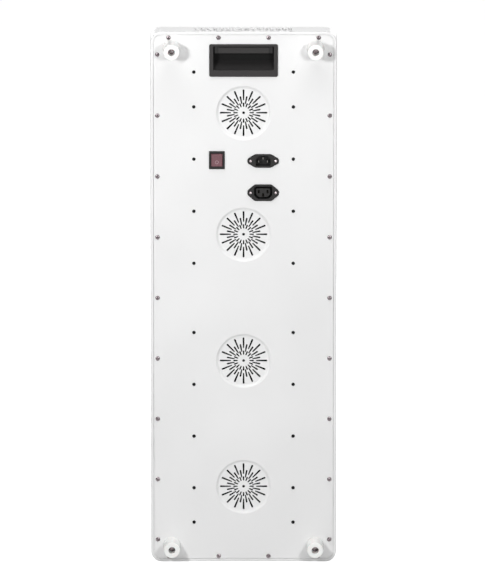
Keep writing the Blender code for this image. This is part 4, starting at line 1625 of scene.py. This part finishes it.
@dataclass
class Outlet(Socket):
    """The mains outlet: a core with three slots inside a moat for the plug's skirt."""

    node: str = "outlet_body"
    flat: float = 0.0268
    well: Triple = (0.0287, 0.0200, 0.0058)
    chamfers: Chamfers = Chamfers.BELOW
    soft: float = 0.0024
    core: Triple = (0.0223, 0.0140, 0.0040)  # width, height and chamfer of the core
    core_soft: float = 0.0027  # how far the core's corners are drawn round
    core_edge: float = 0.0006
    slot: Pair = (0.0030, 0.0054)  # width and height of a contact's slot
    slot_corner: float = 0.0005
    slot_lip: float = 0.0003  # radius of the slot's edge
    setback: float = 0.0006  # how far the core's face is behind the flange's
    weld: float = 1e-7  # points closer than this are one

    def build(self) -> None:
        """Draws the body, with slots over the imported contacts."""
        form = Form()
        back, top = self.high.y, self.low.y + self.setback
        contacts = [middle_of(f"outlet_contact_{pole}") for pole in POLES]
        places = [(contact.x, contact.z) for contact in contacts]
        slots = [rounded_box(*self.slot, self.slot_corner, steps=3, middle=at) for at in places]
        floor = self.draw_case(form, [form.level(slot, back) for slot in slots])
        core = self.keyhole(*self.core, self.core_soft)
        base, face = form.plate(core, back - self.floor, top, self.core_edge)
        form.fill(floor, base)
        form.fill(face, *[form.plate(slot, back, top, -self.slot_lip)[1] for slot in slots])
        bmesh.ops.remove_doubles(form.mesh, verts=form.mesh.verts[:], dist=self.weld)
        put("mains_outlet", form.to_mesh("outlet"), BLACK_NYLON, Slot.MOULDING, self.node)


@dataclass
class Modules:
    """The five LED modules: on the front a clear sheet with a grid of lenses, over a board of LEDs."""

    housing: Housing
    count: int = 5
    inset: float = 0.0085  # distance from the housing's outside to the modules
    columns: int = 10  # LEDs across a module
    rows: int = 6  # LEDs up a module
    spacing: float = 0.0058  # the gap between two lenses
    lens_steps: int = 20  # how many faces go round a lens
    sheet_corner: float = 0.0010
    chip: float = 0.0058  # size of an LED
    chip_corner: float = 1 / 6  # radius of its corners, as a share of its size
    chip_wall: float = 0.5  # height of its sides, as a share of the room under the lens sheet
    chip_top: float = 0.9  # height of its crown, as a share of that room
    chip_inset: float = 0.2  # how far the crown draws in, as a share of its size

    def grid(self) -> tuple[list[Pair], float]:
        """Places of the LEDs about a module's middle.

        Returns:
            The places in X and Z, and the diameter of a lens.
        """
        pitch_x = (self.housing.width - 2 * self.inset) / self.columns
        pitch_z = (self.housing.height - 2 * self.inset) / self.count / self.rows
        across = [pitch_x * (column - (self.columns - 1) / 2) for column in range(self.columns)]
        up = [pitch_z * (row - (self.rows - 1) / 2) for row in range(self.rows)]
        return [(x, z) for x in across for z in up], min(pitch_x, pitch_z) - self.spacing

    def lens_mesh(self, width: float, height: float) -> Mesh:
        """A clear sheet with domed lenses, about the module's middle.

        Args:
            width: The sheet's size across.
            height: Its size upwards.

        Returns:
            The mesh.
        """
        form = Form()
        rear = self.housing.depths.lens_rear
        front = rear + self.housing.lens_sheet
        rise = self.housing.depths.lens_crown - front
        outline = rounded_box(width, height, self.sheet_corner, steps=2)
        back, face = form.level(outline, rear), form.level(outline, front)
        form.cap(back)
        form.wall(back, face)
        places, diameter = self.grid()
        brims = []
        for place in places:
            rings = []
            for share in shares(steps=5)[:-1]:
                angle = QUARTER * share
                circle = disc(diameter * math.cos(angle), self.lens_steps, place)
                rings.append(form.level(circle, front + rise * math.sin(angle)))
            rings.append(form.level([place], front + rise))
            form.wall(*rings)
            brims.append(rings[0])
        form.fill(face, *brims)
        return form.to_mesh("lenses")

    def chip_mesh(self, kind: Led) -> Mesh:
        """The LEDs of one kind on a board, about the module's middle, with a low crown each.

        Args:
            kind: Which LEDs.

        Returns:
            The mesh.
        """
        form = Form()
        low = self.housing.depths.board
        room = self.housing.depths.lens_rear - low
        corner = self.chip * self.chip_corner
        levels = ((0.0, 0.0), (0.0, self.chip_wall), (self.chip_inset, self.chip_top))
        for index, place in enumerate(self.grid()[0]):
            if (index // self.rows + index % self.rows) % 2 != kind.value:
                continue
            square = rounded_box(self.chip, self.chip, corner, steps=3, middle=place)
            rings = []
            for draw_in, height in levels:
                rings.append(form.level(inset(square, self.chip * draw_in), low + room * height))
            form.solid(*rings)
        return form.to_mesh("chips")

    def build(self, frame: dict) -> None:
        """Puts the lenses and LEDs on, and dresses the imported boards, heat sinks and drivers.

        Args:
            frame: The loaded frame.
        """
        low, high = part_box("lens_panel_1")
        lenses = self.lens_mesh(high.x - low.x, high.z - low.z)
        red, infrared = self.chip_mesh(Led.RED), self.chip_mesh(Led.INFRARED)
        for number in range(1, self.count + 1):
            at = (0.0, 0.0, middle_of(f"lens_panel_{number}").z)
            put(f"lens_sheet_{number}", lenses, CLEAR_PC, Slot.LENS, f"lens_panel_{number}", at=at)
            put(f"red_leds_{number}", red, RED_SILICONE, at=at)
            put(f"infrared_leds_{number}", infrared, SMOKE_SILICONE, at=at)
            dress(frame, [f"led_board_{number}"], SOLDER_MASK)
            dress(frame, [f"heat_sink_{number}", f"led_driver_{number}"], ALUMINIUM)


def seen(tree: NodeTree) -> NodeSocket:
    """Tells what is seen from what only gives light.

    Args:
        tree: The nodes that ask.

    Returns:
        1 for the camera, for a reflection and for a view through clear pieces, and 0 otherwise.
    """
    path = add_node(tree, "ShaderNodeLightPath")
    level = path.outputs["Is Camera Ray"]
    for ray in ("Is Glossy Ray", "Is Transmission Ray"):
        links = {0: level, 1: path.outputs[ray]}
        level = add_node(tree, "ShaderNodeMath", {"operation": "MAXIMUM"}, links).outputs[0]
    return level


def stand(name: str, data: ID, place: Vector, way: Vector) -> Object:
    """Stands a camera or a lamp in the studio.

    Args:
        name: Its name.
        data: What it is.
        place: Where it stands.
        way: The way it points.

    Returns:
        The object.
    """
    thing = bpy.data.objects.new(name, data)
    bpy.context.scene.collection.objects.link(thing)
    thing.location = place
    thing.rotation_mode = "QUATERNION"
    thing.rotation_quaternion = way.to_track_quat("-Z", "Y")
    return thing


@dataclass(frozen=True)
class Lamp:
    """One soft light of the studio."""

    name: str
    size: Pair  # width and height
    place: Triple
    power: float  # in watts

    def hang(self, aim: Vector) -> None:
        """Hangs the lamp, unseen by the camera.

        Args:
            aim: What it points at.
        """
        data = bpy.data.lights.new(self.name, "AREA")
        data.shape = "RECTANGLE"
        data.size, data.size_y = self.size
        data.energy = self.power
        place = Vector(self.place)
        stand(self.name, data, place, aim - place).visible_camera = False


@dataclass
class Studio:
    """The plain white set: a floor, soft lights and the camera."""

    distance: float = 20.0  # distance of the camera
    elevation: float = math.radians(12.0)  # its angle above the horizon
    aim: Triple = (-0.0017, -0.02, 0.4457)  # what it looks at
    lens: float = 787.4  # its focal length in millimetres
    sensor: float = 36.0  # width of its sensor in millimetres
    reach: float = 200.0  # how far it sees
    floor_size: float = 60.0
    floor_colour: str = "#CACACA"  # the floor's colour under the lamps
    floor_glow: float = 0.94  # how much white the floor adds for the camera
    ambient: float = 0.09  # light of the surround
    lit: Triple = (0.0, 0.0, 0.45)  # what the lamps point at
    lamps: tuple[Lamp, ...] = (  # the lamps: three on the rear and two on the lit front
        Lamp("key_light", size=(0.25, 0.25), place=(-0.80, -1.6, 1.20), power=17.5),
        Lamp("fill_light", size=(0.40, 0.40), place=(1.1, -3.0, 1.40), power=33.0),
        Lamp("top_light", size=(1.2, 0.8), place=(0.0, -0.45, 2.1), power=10.8),
        Lamp("front_left_light", size=(0.7, 0.7), place=(1.1, 1.8, 1.4), power=26.0),
        Lamp("front_right_light", size=(0.7, 0.7), place=(-1.2, 1.8, 1.2), power=16.0),
    )

    def build_camera(self) -> None:
        """Makes the camera and looks through it."""
        data = bpy.data.cameras.new("camera")
        data.lens = self.lens
        data.sensor_width = self.sensor
        data.clip_end = self.reach
        back = Vector((0.0, -math.cos(self.elevation), math.sin(self.elevation)))
        place = Vector(self.aim) + back * self.distance
        bpy.context.scene.camera = stand("camera", data, place, -back)

    def build_floor(self) -> None:
        """Makes the floor: white to the camera and pale grey to the lamps."""
        form = Form()
        half = self.floor_size / 2
        form.cap(form.ring((half * side, half * end, 0.0) for side, end in CORNERS))
        mesh = form.to_mesh("floor")
        material = bpy.data.materials.new("studio_floor_white")
        material.use_nodes = True
        tree = material.node_tree
        tree.nodes.clear()
        limits = {"To Min": 0.0, "To Max": self.floor_glow}
        glow = add_node(tree, "ShaderNodeMapRange", limits, {"Value": seen(tree)}).outputs["Result"]
        paper = add_node(tree, "ShaderNodeBsdfDiffuse", {"Color": linear(self.floor_colour)})
        white = add_node(tree, "ShaderNodeEmission", {"Color": WHITE}, {"Strength": glow})
        both = add_node(tree, "ShaderNodeAddShader", links={0: paper.outputs[0], 1: white.outputs[0]})
        add_node(tree, "ShaderNodeOutputMaterial", links={"Surface": both.outputs[0]})
        mesh.materials.append(material)
        floor = bpy.data.objects.new("floor", mesh)
        bpy.context.scene.collection.objects.link(floor)

    def build_world(self) -> None:
        """Makes an even white surround, full white only where it is seen."""
        world = bpy.data.worlds.new("surround")
        world.use_nodes = True
        tree = world.node_tree
        tree.nodes.clear()
        limits = {"To Min": self.ambient, "To Max": 1.0}
        level = add_node(tree, "ShaderNodeMapRange", limits, {"Value": seen(tree)}).outputs["Result"]
        glow = add_node(tree, "ShaderNodeBackground", {"Color": WHITE}, {"Strength": level})
        add_node(tree, "ShaderNodeOutputWorld", links={"Surface": glow.outputs[0]})
        bpy.context.scene.world = world

    def build(self) -> None:
        """Sets up the whole set."""
        bpy.context.scene.view_settings.view_transform = "Standard"
        self.build_camera()
        self.build_floor()
        self.build_world()
        for lamp in self.lamps:
            lamp.hang(Vector(self.lit))


def main() -> None:
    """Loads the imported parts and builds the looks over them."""
    logging.basicConfig(level=logging.INFO, format="%(name)s: %(message)s")
    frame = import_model()
    Studio().build()
    depths = Depths.read()
    housing = Housing(depths)
    housing.build()
    handle = Handle(depths)
    tilt = next(joint for joint in frame["joints"] if joint["name"] == "rocker_tilt")
    switch = Switch(depths, Vector(tilt["pos_m"]))
    inlet = Inlet(depths)
    outlet = Outlet(depths)
    fittings = (handle, switch, inlet, outlet)
    Cover(housing, [fitting.cutout() for fitting in fittings]).build()
    for fitting in fittings:
        fitting.build()
    inlet.screw.put_at("socket_screws", inlet.screw_places() + outlet.screw_places(), PLATED_STEEL)
    CoverScrews(housing).build()
    Feet().build()
    Modules(housing).build(frame)
    dress(frame, [f"fan_{part}_{number}" for part in ("frame", "rotor") for number in FANS], FAN_PBT)
    # The outlet's contacts carry painted shade for the depth of their slots.
    dress(frame, [f"outlet_contact_{pole}" for pole in POLES], BRONZE_PAINTED_SHADE)


if __name__ == "__main__":
    main()
